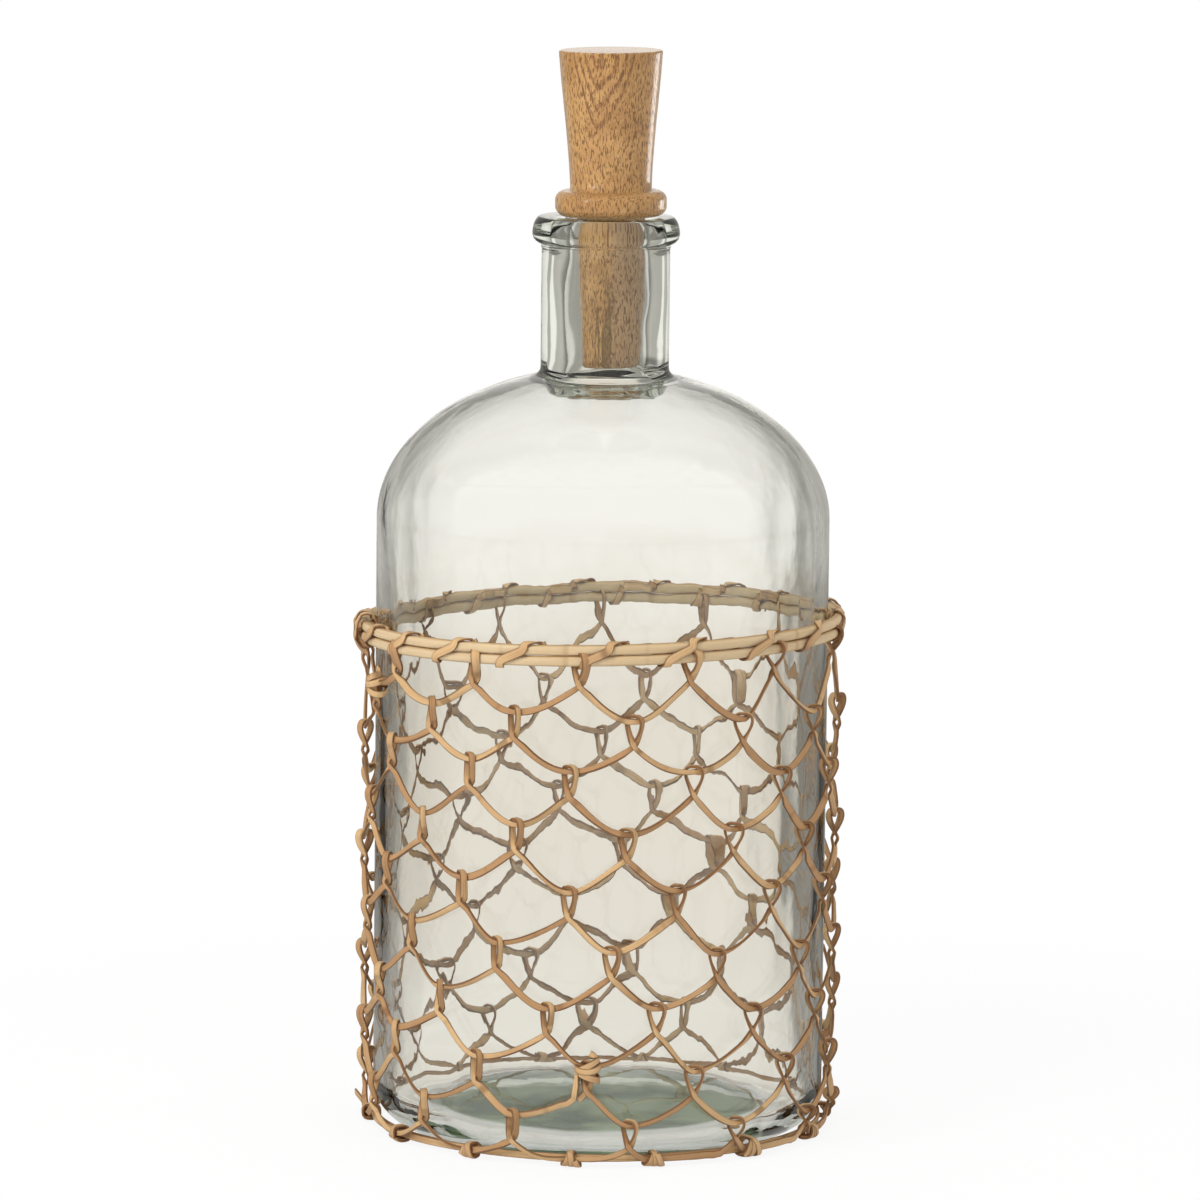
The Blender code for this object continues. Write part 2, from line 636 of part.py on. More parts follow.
def main():
    clear_scene()
    group = collection("decorative_bottle")
    glass = material("clear_glass", (0.78, 0.85, 0.80), 0.04, 0.35)
    wood = material("turned_wood", (0.60, 0.38, 0.19), 0.38)
    pale_cane = material("pale_cane_core", (0.80, 0.64, 0.42), 0.55)
    tan_cane = material("tan_cane_strip", (0.62, 0.42, 0.23), 0.50)

    sleeve = add_empty("net_sleeve_frame", group)
    bottle = turned("glass_bottle", bottle_profile(), BODY_STEPS, None, glass, group)
    turned("wooden_stopper", stopper_profile(), STOPPER_STEPS, bottle, wood, group, STOPPER_SEAT)

    hoop("rim_hoop_upper", HOOP_DROP, sleeve, pale_cane, group)
    hoop("rim_hoop_lower", -HOOP_DROP, sleeve, pale_cane, group)
    binding = binding_path()
    strip("rim_binding", binding, BINDING_WIDTH, BINDING_THICKNESS, sleeve, tan_cane, group)
    gap = least_gap(binding, BINDING_WIDTH, BINDING_THICKNESS)
    print(f"rim_binding: least gap to itself {gap * 1000:.2f} mm")

    first = 0
    last_loops = [loop - 1 for loop in KNOT_LOOPS] + [LAST_LOOP]
    for name, last in zip(("net_strand_upper", "net_strand_middle", "net_strand_lower"), last_loops):
        path = net_strand(first, last)
        strip(name, path, STRAND_WIDTH, STRAND_THICKNESS, sleeve, tan_cane, group)
        gap = least_gap(path, STRAND_WIDTH, STRAND_THICKNESS)
        print(f"{name}: {last - first + 1} loops, least gap to itself {gap * 1000:.2f} mm")
        first = last + 1

    strip("foot_hoop", foot_path(), FOOT_WIDTH, FOOT_THICKNESS, sleeve, tan_cane, group)
    for number, angle in enumerate(tie_angles(), 1):
        name = f"foot_tie_{number:02d}"
        strip(name, tie_path(angle), TIE_WIDTH, TIE_THICKNESS, sleeve, tan_cane, group, closed=True)


main()
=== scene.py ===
# %% [markdown]
# # A glass bottle in a net of cane
#
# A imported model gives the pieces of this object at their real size, as plain
# solids: a bottle, its wooden stopper, and a sleeve of looped cane. This lesson
# sets up a small photo studio, and then makes the fine form and the finish of each
# piece round that model. Everything is in metres. The bottle stands on z = 0 with
# its axis through the origin, and its front faces -Y.

from math import acos, cos, degrees, exp, pi, radians, sin, sqrt

import bmesh
import bpy
import numpy as np
from mathutils import Matrix, Vector, noise


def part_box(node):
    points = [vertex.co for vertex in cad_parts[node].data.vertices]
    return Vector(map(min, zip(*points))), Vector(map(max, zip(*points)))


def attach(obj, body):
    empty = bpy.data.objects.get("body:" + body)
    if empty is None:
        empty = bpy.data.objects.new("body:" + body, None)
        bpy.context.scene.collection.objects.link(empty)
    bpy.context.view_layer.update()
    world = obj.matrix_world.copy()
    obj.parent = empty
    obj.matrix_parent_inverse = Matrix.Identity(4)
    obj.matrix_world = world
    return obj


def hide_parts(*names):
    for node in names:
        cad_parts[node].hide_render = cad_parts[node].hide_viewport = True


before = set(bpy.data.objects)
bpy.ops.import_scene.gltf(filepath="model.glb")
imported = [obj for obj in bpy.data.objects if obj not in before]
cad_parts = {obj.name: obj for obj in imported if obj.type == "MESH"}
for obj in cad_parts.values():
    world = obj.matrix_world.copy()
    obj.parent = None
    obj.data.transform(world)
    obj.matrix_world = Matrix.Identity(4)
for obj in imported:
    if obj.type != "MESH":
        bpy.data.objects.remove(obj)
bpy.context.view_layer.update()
bpy.context.scene.view_settings.view_transform = "Standard"

# %% [markdown]
# ## The camera
#
# The picture was taken with a long lens from a little above the bottle. How much
# the rims of the lip, the sleeve and the foot open up into ellipses gives the
# angle, eight degrees down. A long lens keeps the sides of the bottle parallel.
# The camera is turned by half a degree, because the bottle leans a hair in the
# picture.

# %% Camera
CAMERA_PLACE = Vector((0.0, -2.8, 0.61))
CAMERA_AIM = Vector((-0.0009, 0.0, 0.208))
CAMERA_ROLL = 0.6
CAMERA_LENS, SENSOR_WIDTH = 215.6, 36.0

forward = (CAMERA_AIM - CAMERA_PLACE).normalized()
level = forward.cross(Vector((0.0, 0.0, 1.0))).normalized()
upright = level.cross(forward)
roll = radians(CAMERA_ROLL)
right = level * cos(roll) + upright * sin(roll)
top = upright * cos(roll) - level * sin(roll)
turn = Matrix((right, top, -forward)).transposed().to_4x4()
camera = bpy.data.objects.new("camera", bpy.data.cameras.new("camera"))
camera.data.lens = CAMERA_LENS
camera.data.sensor_width = SENSOR_WIDTH
camera.matrix_world = Matrix.Translation(CAMERA_PLACE) @ turn
bpy.context.scene.collection.objects.link(camera)
bpy.context.scene.camera = camera
print("camera looks down by", round(degrees(-forward.angle(Vector((0, 0, 1))) + pi / 2), 2), "degrees")

# %% [markdown]
# ## Node trees as sums
#
# A finish is a sum of masks and noises, and a tree of nodes is hard to read as
# code. So one small class holds an output of a node and takes part in plain
# arithmetic: each sign adds a Math node. One method adds any other node: it takes
# the node's type, its settings, and what goes into its sockets. The rest are short
# names for the nodes that come up again and again.

# %% Node helper
class Wire:
    """One output of a node. Sums with it add Math nodes to the same tree."""

    def __init__(self, tree, socket=None):
        self.tree = tree
        self.socket = socket

    def node(self, kind, settings=None, inputs=None, output=0):
        """Adds a node to the tree and returns one of its outputs."""
        made = self.tree.nodes.new(kind)
        for name, value in (settings or {}).items():
            setattr(made, name, value)
        for name, value in (inputs or {}).items():
            sockets = [s for s in made.inputs if name in (s.identifier, s.name)]
            socket = made.inputs[name] if isinstance(name, int) else sockets[0]
            if isinstance(value, Wire):
                self.tree.links.new(value.socket, socket)
            else:
                socket.default_value = value
        if not made.outputs:
            return Wire(self.tree)
        outputs = [s for s in made.outputs if output in (s.identifier, s.name)]
        return Wire(self.tree, made.outputs[output] if isinstance(output, int) else outputs[0])

    def math(self, operation, *others):
        values = dict(enumerate((self, *others)))
        return self.node("ShaderNodeMath", {"operation": operation}, values)

    def __add__(self, other):
        return self.math("ADD", other)

    def __mul__(self, other):
        return self.math("MULTIPLY", other)

    def __sub__(self, other):
        return self.math("SUBTRACT", other)

    def __truediv__(self, other):
        return self.math("DIVIDE", other)

    def __rsub__(self, other):
        return self.node("ShaderNodeMath", {"operation": "SUBTRACT"}, {0: other, 1: self})

    __radd__ = __add__
    __rmul__ = __mul__

    def vector(self, operation, *others, output=0):
        """The same for vectors, where a Math node would keep one number of the three."""
        values = dict(enumerate((self, *others)))
        return self.node("ShaderNodeVectorMath", {"operation": operation}, values, output)

    def length(self):
        return self.vector("LENGTH", output="Value")

    def scaled(self, factor):
        """This vector or colour times a number that may vary."""
        values = {0: self, "Scale": factor}
        return self.node("ShaderNodeVectorMath", {"operation": "SCALE"}, values)

    def parts(self):
        """The three numbers of this vector."""
        split = self.node("ShaderNodeSeparateXYZ", {}, {"Vector": self}).socket.node
        return [Wire(self.tree, output) for output in split.outputs]

    def stretched(self, scale=(1.0, 1.0, 1.0), turn=(0.0, 0.0, 0.0)):
        """This place, scaled along each axis and then turned, to draw a pattern out or lean it."""
        values = {"Vector": self, "Rotation": turn, "Scale": scale}
        return self.node("ShaderNodeMapping", {}, values)

    def noise(self, scale, detail=2.0, distortion=0.0, line=False):
        """Soft noise round 0.5, of this place or, on a line, of this length."""
        values = {"W" if line else "Vector": self, "Scale": scale}
        values |= {"Detail": detail, "Distortion": distortion}
        return self.node("ShaderNodeTexNoise", {"noise_dimensions": "1D" if line else "3D"}, values)

    def bump(self, strength, distance):
        """Relief that only the light sees, as deep as the distance where this goes from 0 to 1."""
        values = {"Strength": strength, "Distance": distance, "Height": self}
        return self.node("ShaderNodeBump", {}, values)

    def step(self, low, high):
        """0 below low, 1 above high, and smooth between them."""
        ends = {"Value": self, "From Min": low, "From Max": high}
        return self.node("ShaderNodeMapRange", {"interpolation_type": "SMOOTHSTEP"}, ends)

    def mixed(self, first, second):
        """The first colour where this is 0, and the second where it is 1."""
        ends = {"Factor_Float": self, "A_Color": first, "B_Color": second}
        return self.node("ShaderNodeMix", {"data_type": "RGBA"}, ends, "Result_Color")

    def rays(self, *names):
        """What is known of the ray that asks, such as whether it comes from the camera."""
        outputs = self.node("ShaderNodeLightPath").socket.node.outputs
        return [Wire(self.tree, outputs[name]) for name in names]


# %% Materials and colours
def new_material(name):
    """An empty material, with a wire to build its tree from."""
    made = bpy.data.materials.new(name)
    made.use_nodes = True
    made.node_tree.nodes.clear()
    return made, Wire(made.node_tree)


def colour(red, green, blue):
    return (red, green, blue, 1.0)


# %% [markdown]
# ## The studio
#
# The object was photographed for a shop, on white paper in soft light. The floor
# and the world glow white for the camera and for what shows through glass, but
# light the object at a plain level, so the white costs no shadow and no colour.
#
# Glass looks like glass only when its edges have something dark to show. So the
# white wall behind the bottle is only so wide: what a ray sees through the glass
# falls off to grey on the left, and faster on the right, where photographers put
# a grey card to give clear glass a dark side. Past the cards it is white again.
# A ray that was mirrored on its way has a glossy depth above 0. To such a ray the
# studio is white straight behind, dim beside that, and darker at the sides. What
# it meets in front lies between. The floor near the bottle shows through the glass
# a little darker and warmer than paper far away, a painted shadow of the bottle.

# %% Colours and levels of the studio
WHITE = colour(1.0, 1.0, 1.0)
WARM = colour(1.0, 0.965, 0.86)
FAR_PAPER = colour(1.0, 0.980, 0.935)
# Painted shadow: the glow of the paper near the bottle, as rays through the glass see it.
NEAR_FLOOR_SHADE = colour(0.783, 0.732, 0.640)
ROOM_LIGHT = colour(0.40, 0.40, 0.40)
BEHIND_EDGE = 0.1
WALL_LEFT, WALL_LEFT_START, WALL_LEFT_END = 0.34, 0.05, 0.25
WALL_RIGHT, WALL_RIGHT_START, WALL_RIGHT_END = 0.33, 0.035, 0.20
NEAR_CARD_CLOSER, NEAR_CARD_DARKER = 0.65, 0.07
CARDS_END_START, CARDS_END = 0.50, 0.75
LOBE_FULL, LOBE_END = 0.07, 0.24
ROOM_LEFT, ROOM_RIGHT, ROOM_EDGE = 0.50, 0.46, 0.3
ROOM_SIDE, ROOM_SIDE_END, ROOM_START = 0.20, 0.35, 0.62
BAND_LEVEL, BAND_START, BAND_FULL, BAND_FADE, BAND_END = 0.24, 0.10, 0.17, 0.40, 0.70
NEAR_MIRRORED = 0.40
FRONT_LEVEL, NEAR_FRONT_LEVEL = 0.45, 0.75
print("card levels, left and right:", WALL_LEFT, WALL_RIGHT)


# %% What a ray meets
def wall_level(right, is_behind, near):
    """The white wall and its two grey cards, of which the right one reaches in over the near floor."""
    dark_right = (right * (1 + near * NEAR_CARD_CLOSER)).step(WALL_RIGHT_START, WALL_RIGHT_END)
    dark_right = dark_right * (1 - WALL_RIGHT + near * NEAR_CARD_DARKER)
    dark_left = (0 - right).step(WALL_LEFT_START, WALL_LEFT_END) * (1 - WALL_LEFT)
    cards = is_behind * (1 - right.math("ABSOLUTE").step(CARDS_END_START, CARDS_END))
    return 1 - (dark_right + dark_left) * cards


def mirror_level(right, behind, up, is_behind, in_glass, near):
    """What a mirrored ray meets. One inside the glass also finds a dark band low over the floor."""
    room = ROOM_LEFT + right.step(-ROOM_EDGE, ROOM_EDGE) * (ROOM_RIGHT - ROOM_LEFT)
    room = ROOM_SIDE + behind.step(ROOM_SIDE_END, ROOM_START) * (room - ROOM_SIDE)
    dim = right.math("ABSOLUTE").step(LOBE_FULL, LOBE_END) * is_behind
    band = up.step(BAND_START, BAND_FULL) * (1 - up.step(BAND_FADE, BAND_END)) * is_behind
    band = 1 - band * in_glass * (1 - BAND_LEVEL)
    level = (1 - dim * (1 - room)).math("MINIMUM", band)
    level = level * (1 - near * (1 - NEAR_MIRRORED))
    front = FRONT_LEVEL + near * (NEAR_FRONT_LEVEL - FRONT_LEVEL)
    return front + is_behind * (level - front)


def studio_shade(direction, near=0.0):
    """What the studio shows in a direction, and whether a ray shows it or is lit by it."""
    x, y, z = direction.parts()
    around = (x * x + y * y).math("SQRT")
    right, behind = x / around, y / around
    is_behind = behind.step(-BEHIND_EDGE, BEHIND_EDGE)
    by_camera, glossy, mirrors, walls = direction.rays(
        "Is Camera Ray", "Is Glossy Ray", "Glossy Depth", "Transmission Depth"
    )
    mirrored, in_glass = (depth.math("GREATER_THAN", 0.5) for depth in (mirrors, walls))
    wall = wall_level(right, is_behind, near)
    mirror = mirror_level(right, behind, z, is_behind, in_glass, glossy * near)
    level = by_camera + glossy * (mirrored * mirror + (1 - mirrored) * wall)
    near_floor_shade = glossy * (1 - mirrored) * near
    paper = by_camera.mixed(near_floor_shade.mixed(FAR_PAPER, NEAR_FLOOR_SHADE), WHITE)
    return level.mixed(WARM, paper).scaled(level), by_camera + glossy


# %% World
world = bpy.data.worlds.new("studio")
world.use_nodes = True
world.node_tree.nodes.clear()
wire = Wire(world.node_tree)
shade, is_shown = studio_shade(wire.node("ShaderNodeTexCoord", output="Generated"))
glow = wire.node("ShaderNodeBackground", {}, {"Color": is_shown.mixed(ROOM_LIGHT, shade)})
wire.node("ShaderNodeOutputWorld", {}, {"Surface": glow})
bpy.context.scene.world = world
print("world nodes:", len(world.node_tree.nodes))

# %% [markdown]
# The floor is a wide disc of white paper. It glows like the world does, so it has
# no horizon, but a share of it stays real paper, which takes the shadow of the
# bottle. That share is largest close to the bottle. Rays through the glass floor
# of the bottle find the paper right under it dark, since little light gets there.

# %% Floor
FLOOR_RADIUS, FLOOR_SIDES = 3.0, 96
FLOOR_COLOUR, FLOOR_GLOW = colour(0.88, 0.88, 0.87), 1.02
FLOOR_SHOWN_SHARE = 0.86
SHADOW_START, SHADOW_END = 0.25, 0.70
NEAR_END, NEAR_START = 1.0, 1.9
CLOSE_END, CLOSE_START, CLOSE_SHARE = 0.15, 0.45, 0.77
UNDER_END, UNDER_START, UNDER_SHARE = 0.066, 0.086, 0.25
BOTTLE_SHADE_RADIUS = 0.086

floor_paper, wire = new_material("floor_paper")
here = wire.node("ShaderNodeTexCoord", output="Object")
distance = here.length()
x, y = here.parts()[:2]
beyond = (x.math("ABSOLUTE") - BOTTLE_SHADE_RADIUS).math("MAXIMUM", 0.0) * x.math("SIGN")
way = wire.node("ShaderNodeCombineXYZ", {}, {"X": beyond, "Y": y})
close = CLOSE_SHARE + distance.step(CLOSE_END, CLOSE_START) * (1 - CLOSE_SHARE)
# Near the bottle the glow that the glass shows is darker, a painted shadow of the bottle.
shade, is_shown = studio_shade(way, close * (1 - distance.step(NEAR_END, NEAR_START)))
paper = wire.node("ShaderNodeBsdfDiffuse", {}, {"Color": FLOOR_COLOUR})
glow = wire.node("ShaderNodeEmission", {}, {"Color": shade, "Strength": FLOOR_GLOW})
share = FLOOR_SHOWN_SHARE + distance.step(SHADOW_START, SHADOW_END) * (1 - FLOOR_SHOWN_SHARE)
under = (1 - wire.rays("Is Camera Ray")[0]) * (1 - distance.step(UNDER_END, UNDER_START))
share = share * (1 - under * (1 - UNDER_SHARE))
surface = wire.node("ShaderNodeMixShader", {}, {0: is_shown * share, 1: paper, 2: glow})
wire.node("ShaderNodeOutputMaterial", {}, {"Surface": surface})

shape = bmesh.new()
bmesh.ops.create_circle(shape, cap_ends=True, radius=FLOOR_RADIUS, segments=FLOOR_SIDES)
mesh = bpy.data.meshes.new("floor")
shape.to_mesh(mesh)
shape.free()
mesh.materials.append(floor_paper)
floor = bpy.data.objects.new("floor", mesh)
bpy.context.scene.collection.objects.link(floor)
print("floor radius:", FLOOR_RADIUS)

# %% [markdown]
# A large soft lamp at the upper left gives the light its direction. A weaker one
# fills the right, one overhead lights the rims, and a narrow one at the back right
# draws an edge. None of these shows in the glass, which mirrors the studio instead.
# Varnished wood does need something bright to mirror, so two more lamps show in
# the varnish. They light nothing but what is in the collection of varnished pieces.

# %% Lamps
AIM = Vector((0.0, 0.0, 0.22))

varnished = bpy.data.collections.new("varnished")


def softbox(name, azimuth, elevation, distance, width, height, power, for_varnish=False):
    """A soft rectangular lamp that faces the bottle. Azimuth 0 is in front, and 90 is on the right."""
    lamp = bpy.data.lights.new(name, "AREA")
    lamp.shape = "RECTANGLE"
    lamp.size = width
    lamp.size_y = height
    lamp.energy = power
    a, e = radians(azimuth), radians(elevation)
    away = Vector((sin(a) * cos(e), -cos(a) * cos(e), sin(e)))
    made = bpy.data.objects.new(name, lamp)
    made.location = AIM + away * distance
    made.rotation_euler = away.to_track_quat("Z", "Y").to_euler()
    made.visible_glossy, made.visible_transmission = for_varnish, False
    if for_varnish:
        made.light_linking.receiver_collection = varnished
    bpy.context.scene.collection.objects.link(made)


softbox("key", -43, 34, 1.6, 0.80, 1.00, 16.0)
softbox("fill", 40, 24, 1.8, 0.90, 1.20, 3.5)
softbox("overhead", 180, 78, 1.5, 0.90, 0.90, 6.0)
softbox("edge", 116, 10, 1.5, 0.45, 1.20, 5.5)
softbox("gloss_right", 129, 1, 1.5, 0.55, 0.43, 2.4, for_varnish=True)
softbox("gloss_left", -56, 30, 1.5, 0.30, 0.60, 1.6, for_varnish=True)

# %% [markdown]
# ## The glass
#
# The bottle is blown from recycled glass: a round shoulder, a thick neck, a lip
# rolled over at the mouth, and a floor that is pushed up in the middle. Its walls
# are uneven, which is what makes the net behind it swim a little. A turned profile
# gives the form, and soft ripples in the inner wall give the swimming. Under the
# neck the glass has run down a little before it set, so a ring of it hangs there.

# %% Sizes of the bottle
bottle_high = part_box("glass_bottle")[1]
BODY_RADIUS = bottle_high.x
LIP_WEAR = 0.0016
BOTTLE_HEIGHT = bottle_high.z - LIP_WEAR
BODY_WALL = 0.0040
SHOULDER_START, SHOULDER_RISE = 0.2410, 0.0590
NECK_RADIUS, NECK_ROOT_FILLET = 0.0252, 0.0036
BORE_RADIUS, BORE_SHIFT, BORE_ROOT_ROUND = 0.0154, 0.0006, 0.0050
DRIP_RADIUS, DRIP_DEPTH, DRIP_WIDTH, DRIP_REACH = 0.0208, 0.0058, 0.0028, 3
LIP_RADIUS, LIP_HEIGHT, LIP_FOOT = 0.0289, 0.0112, 0.0004
LIP_TOP_RADIUS, LIP_TOP_ROUND, MOUTH_ROUND = 0.0272, 0.0014, 0.0020
LIP_BULGE, LIP_BULGE_HEIGHT, LIP_HALF_HEIGHTS = 0.0045, 0.0044, (0.0041, 0.0077)
UNDERCUT, UNDERCUT_START_SHARE = 0.0012, 0.3
HEEL_ROUND, BASE_LAND, BASE_WALL, PUSH_UP = 0.0160, 0.0060, 0.0065, 0.0035
GLASS_STEPS = 192
RUN_LENGTH = 0.0040
print("bottle:", round(BODY_RADIUS * 2000, 1), "mm across,", round(BOTTLE_HEIGHT * 1000, 1), "mm tall")


# %% Profile helpers
def arc(centre, radius, start, end, count):
    """Points on a circle between two angles, in degrees from +X."""
    turns = [radians(start + (end - start) * i / count) for i in range(count + 1)]
    return [(centre[0] + radius * cos(t), centre[1] + radius * sin(t)) for t in turns]


def shoulder_arc(inset, stop, count):
    """Points up the shoulder's quarter ellipse, set in by a wall."""
    turns = [stop * i / count for i in range(count + 1)]
    across, rise = BODY_RADIUS - inset, SHOULDER_RISE - inset
    return [(across * cos(t), SHOULDER_START + rise * sin(t)) for t in turns]


def shoulder_round(inset, shaft, radius):
    """Where a round of this radius touches the shoulder and an upright wall: parameter, centre, angle."""
    across, rise = BODY_RADIUS - inset, SHOULDER_RISE - inset
    low, high = 0.0, pi / 2
    for _ in range(60):
        t = (low + high) / 2
        length = sqrt((rise * cos(t)) ** 2 + (across * sin(t)) ** 2)
        if across * cos(t) + radius * rise * cos(t) / length > shaft + radius:
            low = t
        else:
            high = t
    normal = (rise * cos(t) / length, across * sin(t) / length)
    centre = (shaft + radius, SHOULDER_START + rise * sin(t) + radius * normal[1])
    return t, centre, 180 + degrees(acos(normal[0]))


def filled_in(profile, spacing):
    """The same outline, with points added so that none lie further apart than the spacing."""
    made = [profile[0]]
    for start, end in zip(profile, profile[1:]):
        count = max(1, round(sqrt((end[0] - start[0]) ** 2 + (end[1] - start[1]) ** 2) / spacing))
        made += [tuple(s + (e - s) * i / count for s, e in zip(start, end)) for i in range(1, count + 1)]
    return made


# %% Turned pieces
def turned(name, profile, steps):
    """A closed solid turned round the Z axis, from a profile that starts and ends on it."""
    shape = bmesh.new()
    verts = [shape.verts.new((radius, 0.0, height)) for radius, height in profile]
    edges = [shape.edges.new(pair) for pair in zip(verts, verts[1:])]
    bmesh.ops.spin(
        shape, geom=verts + edges, cent=(0, 0, 0), axis=(0, 0, 1), angle=2 * pi, steps=steps, use_merge=True
    )
    bmesh.ops.remove_doubles(shape, verts=shape.verts, dist=0.00001)
    bmesh.ops.recalc_face_normals(shape, faces=shape.faces)
    mesh = bpy.data.meshes.new(name)
    shape.to_mesh(mesh)
    shape.free()
    mesh.shade_smooth()
    return mesh


def add_piece(name, mesh, material):
    """A piece of the object, at the origin, with its place in its mesh."""
    mesh.materials.clear()
    mesh.materials.append(material)
    made = bpy.data.objects.new(name, mesh)
    bpy.context.scene.collection.objects.link(made)
    print(name, len(mesh.polygons), "faces")
    return made


# %% Form of the bottle
def inner_profile():
    """The glass from the middle of its floor, up the inside, to the mouth."""
    heel_inside = HEEL_ROUND - BODY_WALL
    floor_edge = BODY_RADIUS - BODY_WALL - heel_inside
    points = [
        (floor_edge * sin(radians(a)), BASE_WALL + PUSH_UP * cos(radians(a)) ** 2) for a in range(0, 90, 15)
    ]
    points += arc((floor_edge, BASE_WALL + heel_inside), heel_inside, -90, 0, 12)
    t, centre, meet = shoulder_round(BODY_WALL, BORE_RADIUS, BORE_ROOT_ROUND)
    points += shoulder_arc(BODY_WALL, t, 90)
    points += arc(centre, BORE_ROOT_ROUND, meet, 180, 8)[1:]
    return points + arc((BORE_RADIUS + MOUTH_ROUND, BOTTLE_HEIGHT - MOUTH_ROUND), MOUTH_ROUND, 180, 90, 6)


def lip_profile():
    """The rolled lip: its flat top, its bulge, which is rounder below, and its undercut."""
    points = arc((LIP_TOP_RADIUS - LIP_TOP_ROUND, BOTTLE_HEIGHT - LIP_TOP_ROUND), LIP_TOP_ROUND, 90, 30, 4)
    under = BOTTLE_HEIGHT - LIP_HEIGHT
    for rise in np.linspace(LIP_HEIGHT - LIP_TOP_ROUND - LIP_BULGE_HEIGHT, LIP_FOOT - LIP_BULGE_HEIGHT, 14):
        share = rise / LIP_HALF_HEIGHTS[1 if rise > 0 else 0]
        points.append((LIP_RADIUS - LIP_BULGE * (1 - sqrt(1 - share ** 2)), under + LIP_BULGE_HEIGHT + rise))
    start = UNDERCUT * UNDERCUT_START_SHARE
    return points + [(NECK_RADIUS + start, under - start), (NECK_RADIUS, under - UNDERCUT)]


def outer_profile():
    """From the neck down the outside, round the heel, and under the pushed-up floor."""
    t, centre, meet = shoulder_round(0.0, NECK_RADIUS, NECK_ROOT_FILLET)
    points = arc(centre, NECK_ROOT_FILLET, 180, meet, 8)
    points += shoulder_arc(0.0, t, 34)[::-1][1:]
    points += arc((BODY_RADIUS - HEEL_ROUND, HEEL_ROUND), HEEL_ROUND, 0, -90, 14)
    land_edge = BODY_RADIUS - HEEL_ROUND - BASE_LAND
    points += [(land_edge * cos(radians(a)), PUSH_UP * sin(radians(a))) for a in range(0, 90, 12)]
    return points + [(0.0, PUSH_UP)]


bottle_profile = inner_profile() + lip_profile() + outer_profile()
bottle_mesh = turned("bottle", filled_in(bottle_profile, RUN_LENGTH), GLASS_STEPS)
print("bottle vertices:", len(bottle_mesh.vertices))

# %% [markdown]
# A bump in the material would tilt the light but leave the wall's thickness alone,
# and with it the way that real waves in glass bend what is behind. So the points of
# the walls are moved in and out by noise, most on the inside, where nothing pressed
# on the glass, and hardly at all on the outside, which a mould had made smooth.

# %% Uneven walls
INNER_RIPPLE, SHOULDER_RIPPLE, RIPPLE_FADE = 0.00045, 0.00014, 0.020
NECK_RIPPLE, OUTER_RIPPLE = 0.00060, 0.00006
BODY_WAVES, NECK_WAVES, FINE_WAVE_SHARE = ((34, 0.35), (95, 0.22)), ((75, 0.5), (160, 0.5)), 0.5
BORE_REACH_SHARE = 1.1


def wall_of(radius, z):
    """The wall that a point of the glass is on: the bore of the neck, the inside, or the outside."""
    if z > SHOULDER_START + SHOULDER_RISE and radius < BORE_RADIUS * BORE_REACH_SHARE:
        return "bore"
    middle = BODY_RADIUS - BODY_WALL / 2
    roof = (SHOULDER_RISE - BODY_WALL / 2) * sqrt(max(0.0, 1 - (radius / middle) ** 2))
    inside = radius < middle if z < SHOULDER_START else z < SHOULDER_START + roof
    return "inside" if inside else "outside"


def ripple(x, y, z, waves):
    """Noise of two scales, drawn out along the bottle."""
    coarse, fine = (noise.noise(Vector((x, y, z * squeeze)) * scale) for scale, squeeze in waves)
    return coarse + FINE_WAVE_SHARE * fine


for vertex in bottle_mesh.vertices:
    x, y, z = vertex.co
    radius = sqrt(x * x + y * y)
    if radius < BORE_RADIUS / 2 or z < BASE_WALL / 2:
        continue
    wall = wall_of(radius, z)
    fade = min(1.0, max(0.0, (z - SHOULDER_START) / RIPPLE_FADE))
    heights = {"bore": NECK_RIPPLE, "outside": OUTER_RIPPLE}
    height = heights.get(wall, INNER_RIPPLE + (SHOULDER_RIPPLE - INNER_RIPPLE) * fade)
    push = ripple(x, y, z, NECK_WAVES if wall == "bore" else BODY_WAVES) * height
    vertex.co.x += push * x / radius
    vertex.co.y += push * y / radius
    if wall != "outside" and z > SHOULDER_START and radius < DRIP_RADIUS + DRIP_REACH * DRIP_WIDTH:
        vertex.co.x += BORE_SHIFT
        vertex.co.z -= DRIP_DEPTH * exp(-(((radius - DRIP_RADIUS) / DRIP_WIDTH) ** 2))
print("walls are uneven by up to about", round(INNER_RIPPLE * 1000, 2), "mm")

# %% [markdown]
# The glass itself is clear. Its faint green comes from what the light loses on
# its way, so it is set as absorption inside the solid: thin walls stay clear, and
# the thick floor and the edges turn green by themselves. The pushed-up middle of
# the base is pressed against an iron and comes out dull, so a mask made from the
# place on the piece adds a dull green there. That green is also painted dark, a
# painted shade for the shadow on the paper under the bottle. A faint bump stands
# for the fine cords in the glass. Lamps shine through as if the wall bent nothing,
# or the cane and the plug behind it would stand in the dark.

# %% Glass finish
GLASS_CLEAR, GLASS_TINT, TINT_DENSITY = colour(0.996, 0.996, 0.990), colour(0.45, 0.66, 0.38), 5.0
LAMP_SHARE_THROUGH = colour(0.900, 0.912, 0.918)
DULL_SHADE_DARK, DULL_SHADE_LIGHT = colour(0.038, 0.098, 0.038), colour(0.27, 0.345, 0.190)
DULL_RADIUS, DULL_EDGE_IN, DULL_EDGE_OUT, DULL_SHARE = 0.0655, 0.003, 0.001, 0.78
DULL_TOP_START, DULL_TOP_END = PUSH_UP + 0.0008, PUSH_UP + 0.0024
SEED_SCALE, MOTTLE_SCALE = 55.0, 32.0
CORD_SCALE, CORD_STRETCH, CORD_SHARE = 240.0, (1.0, 1.0, 0.6), 0.22

